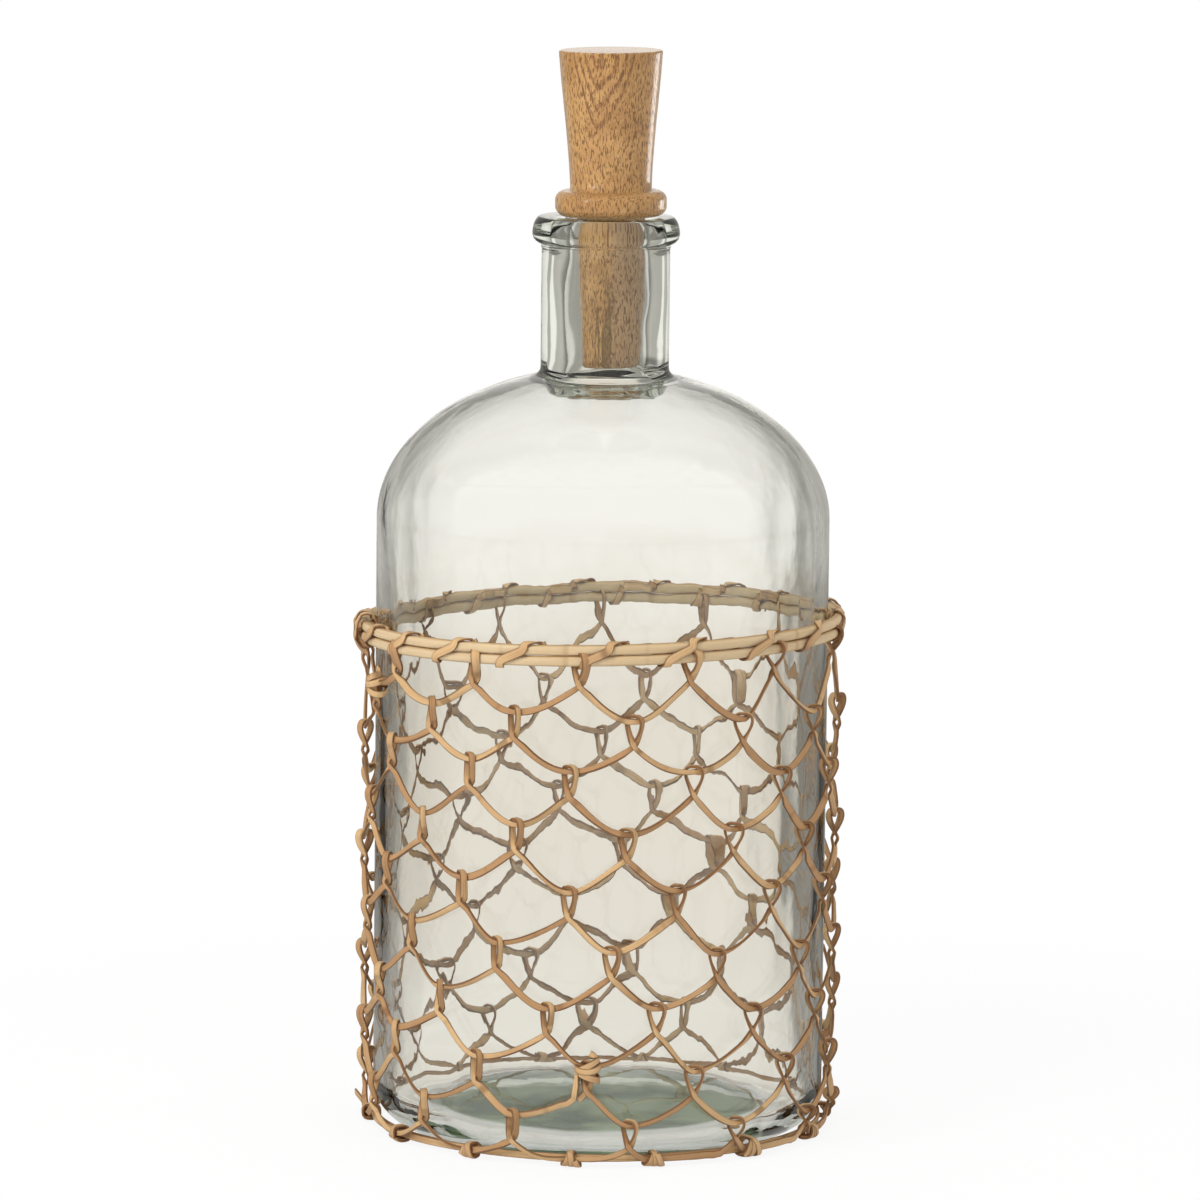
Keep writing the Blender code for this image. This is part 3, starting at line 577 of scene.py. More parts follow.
glass_finish, wire = new_material("recycled_glass")
place = wire.node("ShaderNodeTexCoord", output="Object")
cords = place.stretched(CORD_STRETCH).noise(CORD_SCALE, detail=1.0)
waves = (place.noise(SEED_SCALE) + cords * CORD_SHARE).bump(0.04, 0.002)
glass = wire.node("ShaderNodeBsdfPrincipled", {}, {
    "Base Color": GLASS_CLEAR, "Roughness": 0.015, "IOR": 1.5, "Transmission Weight": 1.0, "Normal": waves,
})
under = (1 - place.parts()[2].step(DULL_TOP_START, DULL_TOP_END)) * (
    1 - place.length().step(DULL_RADIUS - DULL_EDGE_IN, DULL_RADIUS + DULL_EDGE_OUT)
)
mottle = place.noise(MOTTLE_SCALE, detail=4.0).step(0.38, 0.60)
# A dull green with painted shade: the dullness is the iron's, and the darkness stands for the shadow under
# the bottle.
dull_and_shade = wire.node("ShaderNodeBsdfPrincipled", {}, {
    "Base Color": mottle.mixed(DULL_SHADE_DARK, DULL_SHADE_LIGHT), "Roughness": 1.0, "Specular IOR Level": 0.0,
})
body = wire.node("ShaderNodeMixShader", {}, {0: under * DULL_SHARE, 1: glass, 2: dull_and_shade})
clear = wire.node("ShaderNodeBsdfTransparent", {}, {"Color": LAMP_SHARE_THROUGH})
by_shadow, by_diffuse = wire.rays("Is Shadow Ray", "Is Diffuse Ray")
surface = wire.node("ShaderNodeMixShader", {}, {0: by_shadow + by_diffuse, 1: body, 2: clear})
tint = wire.node("ShaderNodeVolumeAbsorption", {}, {"Color": GLASS_TINT, "Density": TINT_DENSITY})
wire.node("ShaderNodeOutputMaterial", {}, {"Surface": surface, "Volume": tint})

bottle = add_piece("bottle", bottle_mesh, glass_finish)
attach(bottle, "bottle")
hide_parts("glass_bottle")

# %% [markdown]
# ## The stopper
#
# The stopper is turned from one piece of light hardwood: a flared handle, a round
# bead, and a plug that narrows into the neck. It is a profile turned round the
# axis. The handle isn't a straight cone: it draws in faster near the bead. The
# plug is a loose fit, so the stopper sits two millimetres off the axis and leans.

# %% Form of the stopper
stopper_low, stopper_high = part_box("wooden_stopper")
COLLAR_RADIUS = stopper_high.x
COLLAR_HEIGHT, COLLAR_ROUND = 0.0100, 0.0040
SEAT_HEIGHT = BOTTLE_HEIGHT + 0.0003
HANDLE_RADII = (0.0159, 0.0163, 0.0170, 0.0178, 0.0187, 0.0196, 0.0203)
HANDLE_EDGE = 0.0008
PLUG_RADIUS, PLUG_END_RADIUS = 0.0133, 0.0115
STOPPER_SHIFT, STOPPER_LEAN = 0.0018, 0.6
STOPPER_STEPS = 128


def stopper_profile():
    """The stopper from the middle of its top, down the handle, the bead and the plug."""
    top, collar_top = stopper_high.z, SEAT_HEIGHT + COLLAR_HEIGHT
    points = [(0.0, top)]
    points += arc((HANDLE_RADII[-1] - HANDLE_EDGE, top - HANDLE_EDGE), HANDLE_EDGE, 90, 0, 5)
    pieces = len(HANDLE_RADII) - 1
    for i in range(pieces - 1, -1, -1):
        points.append((HANDLE_RADII[i], collar_top + (top - HANDLE_EDGE - collar_top) * i / pieces))
    points += arc((COLLAR_RADIUS - COLLAR_ROUND, collar_top - COLLAR_ROUND), COLLAR_ROUND, 88, 10, 8)
    points += arc((COLLAR_RADIUS - COLLAR_ROUND, SEAT_HEIGHT + COLLAR_ROUND), COLLAR_ROUND, -10, -90, 8)
    points += [(PLUG_RADIUS, SEAT_HEIGHT), (PLUG_END_RADIUS, stopper_low.z + HANDLE_EDGE)]
    return points + [(PLUG_END_RADIUS - HANDLE_EDGE, stopper_low.z), (0.0, stopper_low.z)]


stopper_mesh = turned("stopper", filled_in(stopper_profile(), RUN_LENGTH), STOPPER_STEPS)
seat = Matrix.Translation((STOPPER_SHIFT, 0.0, SEAT_HEIGHT))
leaning = seat @ Matrix.Rotation(-radians(STOPPER_LEAN), 4, "Y")
stopper_mesh.transform(leaning @ Matrix.Translation((0.0, 0.0, -SEAT_HEIGHT)))
print("handle:", round(HANDLE_RADII[-1] * 2000, 1), "mm across")

# %% [markdown]
# The wood shows nested pointed arches where the growth rings come to the surface,
# and over them dark pores, short dashes that run with the grain. Rings lie round
# the tree's own axis, so a wave of the distance from a line that leans through the
# front of the handle draws them. The distance is taken along two slanting sides
# and not as on a circle, because these arches come to a point. Noise roughens
# them, and outside the heartwood they fade.

# %% Growth rings
HEART_PLACE, HEART_LEAN = (-0.0045, -0.0190, 0.4258), 14
RING_SPACING, RING_WANDER, WANDER_SCALE = 0.0027, 0.0030, 70.0
ARCH_SLOPE_SHARE, ARCH_TIP = 0.55, 0.0010
HEARTWOOD_RADIUS, HEARTWOOD_EDGE, OUTER_RING_SHARE = 0.0108, 0.0012, 0.22


def growth_rings(place):
    """1 on the dark late wood of each ring, and 0 on the light wood between."""
    leaning = place.vector("SUBTRACT", HEART_PLACE).stretched(turn=(radians(HEART_LEAN), 0.0, 0.0))
    beside, behind = leaning.parts()[:2]
    slope = (beside * beside + ARCH_TIP ** 2).math("SQRT") * ARCH_SLOPE_SHARE
    radius = slope + behind.math("ABSOLUTE")
    wander = place.noise(WANDER_SCALE, detail=3.0) * RING_WANDER
    wave = ((radius + wander) * (2 * pi / RING_SPACING)).math("SINE") * 0.5 + 0.5
    heart = 1 - radius.step(HEARTWOOD_RADIUS, HEARTWOOD_RADIUS + HEARTWOOD_EDGE)
    return wave.step(0.40, 1.0) * (OUTER_RING_SHARE + heart * (1 - OUTER_RING_SHARE))


# %% [markdown]
# Through the glass, the right half of the plug looks plainer and greyer than the
# rest, which is painted shade. A dark stain runs down its front. Both are masks of
# the place on the piece, and smears of noise along the grain break up the stain's
# edge.

# %% Marks on the plug
STAIN_PLACE, STAIN_SQUEEZE = (-0.0005, -0.0120, 0.3120), (1.0, 0.45, 0.15)
STAIN_FULL, STAIN_END = 0.0025, 0.0052
SMEAR_STRETCH, SMEAR_SCALE = (1.0, 1.0, 0.12), 420.0
RIGHT_SHADE_START, RIGHT_SHADE_FULL = 0.0005, 0.0035
RIGHT_SHADE_TOP_START, RIGHT_SHADE_TOP_END = 0.3560, 0.3590


def plug_marks(place):
    """Masks of the painted shade on the right half of the plug, and of the stain on its front."""
    x, _, z = place.parts()
    right_shade = x.step(RIGHT_SHADE_START, RIGHT_SHADE_FULL) * (1 - z.step(RIGHT_SHADE_TOP_START, RIGHT_SHADE_TOP_END))
    away = place.vector("SUBTRACT", STAIN_PLACE).vector("MULTIPLY", STAIN_SQUEEZE).length()
    smears = place.stretched(SMEAR_STRETCH).noise(SMEAR_SCALE, detail=3.0, distortion=0.6)
    return right_shade, (1 - away.step(STAIN_FULL, STAIN_END)) * smears.step(0.42, 0.52)


# %% Wood finish
GRAIN_STRETCH, GRAIN_LEAN = (1.0, 1.0, 0.21), 3
PORE_SCALE, FINE_GRAIN_SCALE, CLOUD_SCALE = 2050.0, 2600.0, 75.0
LIGHT_WOOD, BROWN_WOOD = colour(0.585, 0.322, 0.112), colour(0.435, 0.215, 0.064)
RING_BROWN, PORE_BROWN = colour(0.300, 0.125, 0.038), colour(0.175, 0.076, 0.024)
PLUG_SHADE_GREY, STAIN_BROWN = colour(0.400, 0.262, 0.160), colour(0.120, 0.064, 0.017)
FINE_GRAIN_TAN = colour(0.680, 0.400, 0.165)

wood_finish, wire = new_material("turned_wood")
place = wire.node("ShaderNodeTexCoord", output="Object")
rings = growth_rings(place)
right_shade, stain = plug_marks(place)
grain = place.stretched(GRAIN_STRETCH, turn=(0.0, radians(GRAIN_LEAN), 0.0))
pores = (grain.noise(PORE_SCALE, distortion=0.15) + rings * 0.07).step(0.525, 0.60)
fine = grain.noise(FINE_GRAIN_SCALE, detail=1.0).step(0.45, 0.70)
tone = place.noise(CLOUD_SCALE, detail=3.0).step(0.35, 0.70).mixed(LIGHT_WOOD, BROWN_WOOD)
tone = (rings * 0.70).mixed(tone, RING_BROWN)
# Painted shade: the right half of the plug is greyer, and its grain shows less.
tone = (right_shade * 0.55).mixed(tone, PLUG_SHADE_GREY)
tone = (stain * 0.80).mixed(tone, STAIN_BROWN)
tone = (fine * 0.40).mixed(tone, FINE_GRAIN_TAN)
tone = (pores * 0.85).mixed(tone, PORE_BROWN)
wood = wire.node("ShaderNodeBsdfPrincipled", {}, {
    "Base Color": tone, "Roughness": 0.36 + pores * 0.2, "Coat Weight": 0.85 - pores * 0.3,
    "Coat Roughness": 0.13, "Normal": (1 - pores).bump(0.25, 0.0002),
})
wire.node("ShaderNodeOutputMaterial", {}, {"Surface": wood})

stopper = add_piece("stopper", stopper_mesh, wood_finish)
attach(stopper, "stopper")
varnished.objects.link(stopper)
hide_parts("wooden_stopper")

# %% [markdown]
# ## Cane that follows a path
#
# All of the sleeve is cane: round cores for the rim, and flat strip for the rest.
# Each is a section swept along a path, so one tree of Geometry Nodes makes them
# all. A curve's bevel would twist where a loop turns straight up and down, so
# every point of a path also says which way the flat face looks there. The tree
# smooths the path, squares that direction to it, sweeps the section, and keeps
# three values for the finish: the place along the cane, across it, and through it.

# %% Path and section
def kept(wire, name, kind="FLOAT"):
    """A value that is kept on the points under this name."""
    return wire.node("GeometryNodeInputNamedAttribute", {"data_type": kind}, {"Name": name})


def keep(wire, geometry, name, value, kind="FLOAT"):
    """The same geometry, with a value kept on its points under this name."""
    values = {"Geometry": geometry, "Name": name, "Value": value}
    return wire.node("GeometryNodeStoreNamedAttribute", {"data_type": kind}, values)


def cane_path(wire, given):
    """The path as a smooth curve, with its flat side square to it and near the given facing."""
    curve = wire.node("GeometryNodeMeshToCurve", {}, {"Mesh": given["Path"]})
    curve = wire.node("GeometryNodeCurveSplineType", {"spline_type": "CATMULL_ROM"}, {"Curve": curve})
    smooth = {"Geometry": curve, "Resolution": given["Steps"]}
    curve = wire.node("GeometryNodeSetSplineResolution", {}, smooth)
    curve = wire.node("GeometryNodeResampleCurve", {"mode": "EVALUATED"}, {"Curve": curve})
    tangent = wire.node("GeometryNodeInputTangent")
    side = tangent.vector("CROSS_PRODUCT", kept(wire, "facing", "FLOAT_VECTOR"))
    normal = side.vector("CROSS_PRODUCT", tangent).vector("NORMALIZE")
    curve = wire.node("GeometryNodeSetCurveNormal", {"mode": "FREE"}, {"Curve": curve, "Normal": normal})
    curve = keep(wire, curve, "along", wire.node("GeometryNodeSplineParameter", output="Length"))
    return keep(wire, curve, "side", side.vector("NORMALIZE"), "FLOAT_VECTOR")


def cane_section(wire, given):
    """A circle pressed towards a rectangle, which keeps where each of its points lies."""
    sizes = {"Resolution": given["Sides"], "Radius": 1.0}
    section = wire.node("GeometryNodeCurvePrimitiveCircle", {}, sizes)
    x, y = wire.node("GeometryNodeInputPosition").parts()[:2]
    for name, value in (("through", x), ("across", y)):
        pressed = value.math("SIGN") * value.math("ABSOLUTE").math("POWER", given["Squareness"])
        section = keep(wire, section, name, pressed)
    spot = wire.node("ShaderNodeCombineXYZ", {}, {
        "X": kept(wire, "through") * given["Thickness"] * 0.5,
        "Y": kept(wire, "across") * given["Width"] * 0.5,
    })
    return wire.node("GeometryNodeSetPosition", {}, {"Geometry": section, "Position": spot})


# %% Cane tree
UNEVEN_SCALE = 60.0


def cane_tree(material):
    """Geometry Nodes that sweep a cane's section along a mesh of loose edges."""
    tree = bpy.data.node_groups.new("cane_along_path", "GeometryNodeTree")
    face = tree.interface
    face.new_socket("Geometry", in_out="OUTPUT", socket_type="NodeSocketGeometry")
    face.new_socket("Path", in_out="INPUT", socket_type="NodeSocketGeometry")
    for name in ("Width", "Thickness", "Squareness", "Unevenness"):
        face.new_socket(name, in_out="INPUT", socket_type="NodeSocketFloat")
    for name in ("Steps", "Sides"):
        face.new_socket(name, in_out="INPUT", socket_type="NodeSocketInt")
    wire = Wire(tree)
    given = wire.node("NodeGroupInput").socket.node.outputs
    given = {socket.name: Wire(tree, socket) for socket in given}

    uneven = wire.node("GeometryNodeSplineParameter", output="Length").noise(UNEVEN_SCALE, line=True)
    swept = wire.node("GeometryNodeCurveToMesh", {}, {
        "Curve": cane_path(wire, given), "Profile Curve": cane_section(wire, given),
        "Scale": 1 + (uneven - 0.5) * given["Unevenness"], "Fill Caps": True,
    })
    spread = kept(wire, "across") * (kept(wire, "wide") - 1) * given["Width"] * 0.5
    widened = kept(wire, "side", "FLOAT_VECTOR").scaled(spread)
    swept = wire.node("GeometryNodeSetPosition", {}, {"Geometry": swept, "Offset": widened})
    swept = wire.node("GeometryNodeSetShadeSmooth", {}, {"Geometry": swept})
    swept = wire.node("GeometryNodeRealizeInstances", {}, {"Geometry": swept})
    swept = wire.node("GeometryNodeSetMaterial", {}, {"Geometry": swept, "Material": material})
    wire.node("NodeGroupOutput", {}, {"Geometry": swept})
    return tree


# %% [markdown]
# A route is what the tree sweeps along. Its points are given the way a weaver would
# say them: an angle round the bottle, a distance from its axis and a height. With
# each goes the way its skin looks, and how wide the strip is there. Where a strip
# turns over, the other face looks out from then on.

# %% Routes
def outward(angle):
    """The way out from the axis, at an angle in degrees from the front towards the right."""
    return np.array((sin(radians(angle)), -cos(radians(angle)), 0.0))


class Route:
    """Points of a strip's middle line, with the way its skin faces and how wide it is at each."""

    def __init__(self):
        self.points, self.facings, self.widths, self.breaks = [], [], [], []
        self.side = 1

    def add(self, angle, radius, height, out=1.0, up=0.0, right=0.0, wide=1.0):
        """The next point. Its width is in shares of the strip's own."""
        face = outward(angle) * out + outward(angle + 90) * right + np.array((0.0, 0.0, up))
        self.points.append(outward(angle) * radius + np.array((0.0, 0.0, height)))
        self.facings.append(face * self.side)
        self.widths.append(wide)

    def turn_over(self):
        """From the next point on, the strip's other face looks out."""
        self.side = -self.side

    def end(self):
        """The next point starts another length of cane."""
        self.breaks.append(len(self.points))

    def swept(self, name, tree, closed=False, **sizes):
        """A mesh of this route's cane, made by the tree with these sizes."""
        count = len(self.points)
        edges = [(i, i + 1) for i in range(count - 1) if i + 1 not in self.breaks]
        path = bpy.data.meshes.new(name + "_path")
        path.from_pydata(self.points, edges + [(count - 1, 0)] * closed, [])
        facing = path.attributes.new("facing", "FLOAT_VECTOR", "POINT")
        facing.data.foreach_set("vector", np.array(self.facings, np.float32).ravel())
        path.attributes.new("wide", "FLOAT", "POINT").data.foreach_set("value", self.widths)
        guide = bpy.data.objects.new(name + "_path", path)
        bpy.context.scene.collection.objects.link(guide)
        nodes = guide.modifiers.new("Cane", "NODES")
        nodes.node_group = tree
        for item in tree.interface.items_tree:
            if item.name in sizes:
                nodes[item.identifier] = sizes[item.name]
        evaluated = guide.evaluated_get(bpy.context.evaluated_depsgraph_get())
        mesh = bpy.data.meshes.new_from_object(evaluated)
        bpy.data.objects.remove(guide)
        mesh.name = name
        return mesh


# %% Pieces of the sleeve
def add_sleeve_piece(name, mesh, material, slot, *nodes):
    """A piece of the sleeve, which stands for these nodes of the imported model."""
    piece = add_piece("sleeve_" + name, mesh, material)
    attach(piece, "sleeve")
    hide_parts(*nodes)


# %% [markdown]
# ## The finish of the cane
#
# Strip is split from the outside of a cane, so it has two faces: the skin, which
# is smooth, light and a little glossy, and the pith side, which is browner and
# rough. Both show fine fibres along their length and darken towards the cut edges.
# The round cores of the rim are the pale inside of the cane. The three kept values
# steer all of this, so the fibres follow every loop.

# %% Cane finish
FIBRES_ACROSS, FIBRES_THROUGH, FIBRES_ALONG = 9.0, 3.0, 26.0
DRIFT_SCALE, SPOT_SCALE = 17.0, 90.0
EDGE_DARK_START = 0.66


def cane_finish(name, skin, pith, edge, fibre_contrast, gloss):
    """A finish for cane: colours of the skin, of the pith side and of the cut edges."""
    made, wire = new_material(name)
    along, across, through = (
        wire.node("ShaderNodeAttribute", {"attribute_name": name}, output="Fac")
        for name in ("along", "across", "through")
    )
    spot = wire.node("ShaderNodeCombineXYZ", {}, {
        "X": across * FIBRES_ACROSS, "Y": through * FIBRES_THROUGH, "Z": along * FIBRES_ALONG,
    })
    fibres = spot.noise(1.0, detail=3.0)
    drift, spots = (along.noise(scale, line=True) for scale in (DRIFT_SCALE, SPOT_SCALE))
    back = 1 - through.step(-0.25, 0.25)
    tone = back.mixed(colour(*skin), colour(*pith))
    tone = (drift.step(0.42, 0.68) * 0.75).mixed(tone, colour(*pith))
    tone = (spots.step(0.60, 0.78) * 0.55).mixed(tone, colour(*edge))
    # Darker towards the edges of the strip.
    tone = (across.math("ABSOLUTE").step(EDGE_DARK_START, 1.0) * 0.85).mixed(tone, colour(*edge))
    tone = (fibres.step(0.46, 0.72) * fibre_contrast).mixed(tone, colour(*edge))
    cane = wire.node("ShaderNodeBsdfPrincipled", {}, {
        "Base Color": tone, "Roughness": gloss + fibres * 0.25 + back * 0.15,
        "Normal": (1 - fibres).bump(0.35, 0.0003),
    })
    wire.node("ShaderNodeOutputMaterial", {}, {"Surface": cane})
    return made


strip_finish = cane_finish(
    "cane_strip", (0.76, 0.495, 0.245), (0.545, 0.310, 0.145), (0.17, 0.072, 0.025), 0.50, 0.36
)
core_finish = cane_finish(
    "cane_core", (0.76, 0.58, 0.355), (0.70, 0.51, 0.29), (0.45, 0.27, 0.115), 0.34, 0.42
)
strip_tree = cane_tree(strip_finish)
core_tree = cane_tree(core_finish)
print("cane trees:", len(strip_tree.nodes), "nodes each")

# %% [markdown]
# ## The rim
#
# Two round cores lie on each other all round the bottle and carry the net. The rim
# isn't quite level: against its middle height, it is two millimetres up on the
# right and one at the front. So everything on it asks for the height at its angle.

# %% Sizes of the rim
RIM_HEIGHT, RIM_FRONT_LIFT, RIM_RIGHT_LIFT = 0.1990, 0.0010, 0.0023
RIM_RADIUS, NET_RADIUS = 0.0934, 0.0930
HOOP_CANE_RADIUS, HOOP_DROP = 0.0019, 0.0021
CORE_POINTS = 144


def rim_height(angle):
    """Height of the seam between the two cores."""
    a = radians(angle)
    return RIM_HEIGHT + RIM_FRONT_LIFT * cos(a) + RIM_RIGHT_LIFT * sin(a)


def turn_of(length):
    """The angle that a length along the sleeve covers, in degrees."""
    return degrees(length / NET_RADIUS)


print("rim height left and right:", [round(rim_height(angle) * 1000, 1) for angle in (-90, 90)], "mm")

# %% Cores of the rim
for name, rise in (("rim_hoop_upper", HOOP_DROP), ("rim_hoop_lower", -HOOP_DROP)):
    route = Route()
    for i in range(CORE_POINTS):
        angle = 360 * i / CORE_POINTS
        route.add(angle, RIM_RADIUS, rim_height(angle) + rise)
    mesh = route.swept(
        name, core_tree, closed=True, Width=HOOP_CANE_RADIUS * 2.15, Thickness=HOOP_CANE_RADIUS * 2,
        Squareness=0.9, Unevenness=0.10, Steps=2, Sides=20,
    )
    add_sleeve_piece(name, mesh, core_finish, "cane_core", name)

# %% [markdown]
# A strip winds round both cores in an open spiral and holds them together. It shows
# as a short slanting wrap on the front, goes over the top, and runs on behind the
# upper core to the next wrap. Its first two wraps, at the far left, lie close
# together, so they stand out further and look broader. Where the cores' ends meet
# can't be seen, and those two wraps are the likely place.

# %% Binding of the rim
BINDING_WIDTH, BINDING_THICKNESS, BINDING_GAP = 0.0034, 0.0009, 0.0003
BINDING_FRONT_RUN, BINDING_TOP_RUN, BINDING_TURN_RUN = 0.0082, 0.0050, 0.0012
BINDING_NEAR_SHARE, BINDING_HIGH_SHARE = 0.45, 0.93
BINDING_STEP = 0.0070
CLOSE_WRAPS, CLOSE_PULL, CLOSE_SWELL, CLOSE_WIDE = 2, 0.45, 1.45, 1.4
WRAP_ANGLES = (
    -87, -82, -72, -56, -39, -21, -1, 18.5, 40, 59, 79, 100, 120, 139, 160, 180, 199, 220, 240, 259
)


def binding_route():
    """Under the cores, up across the front, over the top, and along behind the upper core."""
    route = Route()
    reach = HOOP_CANE_RADIUS + BINDING_GAP + BINDING_THICKNESS / 2
    near, high = reach * BINDING_NEAR_SHARE, HOOP_DROP + reach * BINDING_HIGH_SHARE
    front, top, turn = BINDING_FRONT_RUN, BINDING_TOP_RUN, BINDING_TURN_RUN
    wrap = (
        (0.0, -reach, HOOP_DROP), (turn, -reach, 0.0), (turn, -reach, -HOOP_DROP), (turn, -near, -high),
        (turn, near, -high), (turn, reach, -HOOP_DROP), (front / 2, reach, 0.0),
        (front / 2, reach, HOOP_DROP), (turn, near, high), (top, -near, high), (turn, -reach, HOOP_DROP),
    )
    middle = turn * 5 + front / 2
    end = WRAP_ANGLES[0]
    for number, centre in enumerate(WRAP_ANGLES):
        close = number < CLOSE_WRAPS
        pull, swell, wide = (CLOSE_PULL, CLOSE_SWELL, CLOSE_WIDE) if close else (1.0, 1.0, 1.0)
        start = centre - turn_of(middle * pull)
        pieces = 1 if close else max(2, round((start - end) / turn_of(BINDING_STEP)))
        for i in range(1, pieces):
            angle = end + (start - end) * i / pieces
            route.add(angle, RIM_RADIUS - reach, rim_height(angle) + HOOP_DROP, -1.0)
        angle = start
        for run, away, up in wrap:
            angle += turn_of(run * pull)
            at, height = RIM_RADIUS + away * swell, rim_height(angle) + up * swell
            route.add(angle, at, height, away, up - HOOP_DROP * np.sign(up), wide=wide)
        end = angle
    return route


mesh = binding_route().swept(
    "rim_binding", strip_tree, Width=BINDING_WIDTH, Thickness=BINDING_THICKNESS, Squareness=0.55,
    Unevenness=0.12, Steps=5, Sides=12,
)
add_sleeve_piece("rim_binding", mesh, strip_finish, "cane_strip", "rim_binding")

# %% [markdown]
# ## The net
#
# The net is one long spiral of loops. The strip comes to a loop from the lower
# left, behind, goes up as the loop's right leg, passes in front of the arc in the
# row above, over it, and down behind it as the left leg. There it crosses in front
# of itself and leaves to the lower right, with its other face outward, as the next
# arc. Each arc falls steeply to where the next row hooks it, and rises more gently.
# Because the same rule makes every loop, the net is a loop in the code too.
#
# The spiral starts on the rim, where fourteen loops go round in just under a turn,
# and it falls by one row in each turn. A hand knotted it, so some of the loops that
# show at the front lie a little beside the even net, and these are listed.

# %% Places of the loops
RIM_LOOPS = 14
FIRST_LOOP_ANGLE, RIM_LOOP_LAG = -81.32, 3.3
ARC_HOOK_SHARE = 0.4254
LOOP_STEP = 360 / (RIM_LOOPS - ARC_HOOK_SHARE)
FIRST_ARC_DROP, ROW_DROP = 0.0191, 0.0226
LOWEST_HOOK_HEIGHT, LOWEST_CROSSING = 0.0110, 0.0079
LOOP_LENGTH = 0.0098
NET_TOP_HEIGHT = RIM_HEIGHT - FIRST_ARC_DROP
LOOP_FALL = ROW_DROP * LOOP_STEP / 360
FIRST_TIED_ARC = int(np.ceil((NET_TOP_HEIGHT - LOWEST_HOOK_HEIGHT) / LOOP_FALL))
LAST_LOOP = FIRST_TIED_ARC + RIM_LOOPS - 1
# How far some of the front's loops lie from the even net, in degrees and metres.
LOOP_SHIFTS = {
    5: (-2.5, 0.0), 15: (-1.0, -0.0014), 16: (-3.9, 0.0004), 17: (-1.6, -0.0005), 28: (-1.9, 0.0026),
    29: (-0.5, 0.0022), 30: (-1.5, 0.0016), 31: (1.9, 0.0026), 32: (1.6, 0.0005), 43: (0.8, 0.0016),
    44: (1.0, 0.0007), 45: (1.6, 0.0025), 56: (1.4, 0.0008), 57: (2.5, -0.0004), 58: (2.0, 0.0017),
    59: (2.5, 0.0013), 69: (0.2, 0.0019), 71: (1.5, -0.0002), 72: (1.3, -0.0008), 73: (2.7, -0.0016),
    83: (-1.1, 0.0016), 84: (1.5, -0.0011), 85: (1.1, 0.0009), 86: (0.7, -0.0009), 96: (-2.5, 0.0030),
    97: (-1.3, -0.0003), 99: (-0.5, -0.0014), 100: (0.9, 0.0), 110: (-2.3, 0.0020), 111: (-2.9, 0.0013),
    112: (-1.1, 0.0),
}


def loop_angle(loop):
    """Angle of a loop. Those on the rim lie a little to the left of the net's even steps."""
    lag = RIM_LOOP_LAG if loop < RIM_LOOPS else 0.0
    return FIRST_LOOP_ANGLE + LOOP_STEP * loop - lag + LOOP_SHIFTS.get(loop, (0.0, 0.0))[0]


def hook_height(loop):
    """Height of the arc that this loop hooks over."""
    return NET_TOP_HEIGHT - LOOP_FALL * (loop - RIM_LOOPS) + LOOP_SHIFTS.get(loop, (0.0, 0.0))[1]


def crossing_height(loop):
    """Height where a loop's two legs cross."""
    if loop < RIM_LOOPS:
        return rim_height(loop_angle(loop)) - HOOP_DROP - LOOP_LENGTH
    return max(hook_height(loop) - LOOP_LENGTH, LOWEST_CROSSING)


print("loops in the net:", LAST_LOOP + 1, "one each", round(LOOP_STEP, 1), "degrees")

# %% [markdown]
# A loop's form is a list of shares: how far out to the side, how far down, and how
# far in front each point of a leg lies, and which way the strip faces there: out,
# up, and towards the side. The left leg mirrors the right one, to the side and
# from front to back. No two loops came out alike, so chance varies each one's width
# and how far its legs turn to the side.

# %% Loops
STRIP_WIDTH, STRIP_THICKNESS = 0.0027, 0.0012
LOOP_HALF_WIDTH = 0.0024
HOOK_OFFSET, CROSSING_OFFSET = 0.0021, 0.0012
LEG_WIDE, RIM_LEG_WIDE, CROSSING_WIDE = 1.05, 1.45, 0.80
HALF_WIDTH_RANGE, TWIST_RANGE, LEG_WIDE_RANGE = (0.88, 1.12), (1.4, 2.3), (0.85, 1.15)
LOOP_FORM_SHARES = (
    (0.38, 0.78, -0.15, 1.0, 0.0, 0.30),
    (0.72, 0.50, 0.45, 1.0, 0.0, 0.60),
    (0.96, 0.22, 0.95, 0.9, 0.0, 0.70),
    (1.00, 0.00, 1.05, 0.8, 0.2, 0.60),
    (0.80, -0.15, 0.80, 0.5, 0.8, 0.40),
    (0.42, -0.21, 0.42, 0.2, 1.0, 0.15),
)
RIM_LOOP_FORM_SHARES = (
    (0.42, 0.70, -0.10, 1.0, 0.0, 0.30),
    (0.78, 0.42, 0.45, 1.0, 0.0, 0.45),
    (0.98, 0.16, 0.85, 1.0, 0.0, 0.45),
    (1.00, -0.03, 1.00, 1.0, 0.0, 0.35),
    (0.92, -0.17, 0.90, 0.9, 0.5, 0.30),
    (0.70, -0.27, 0.55, 0.3, 1.0, 0.20),
    (0.35, -0.285, 0.25, 0.0, 1.0, 0.10),
)
print("points in a leg, net and rim:", len(LOOP_FORM_SHARES), len(RIM_LOOP_FORM_SHARES))


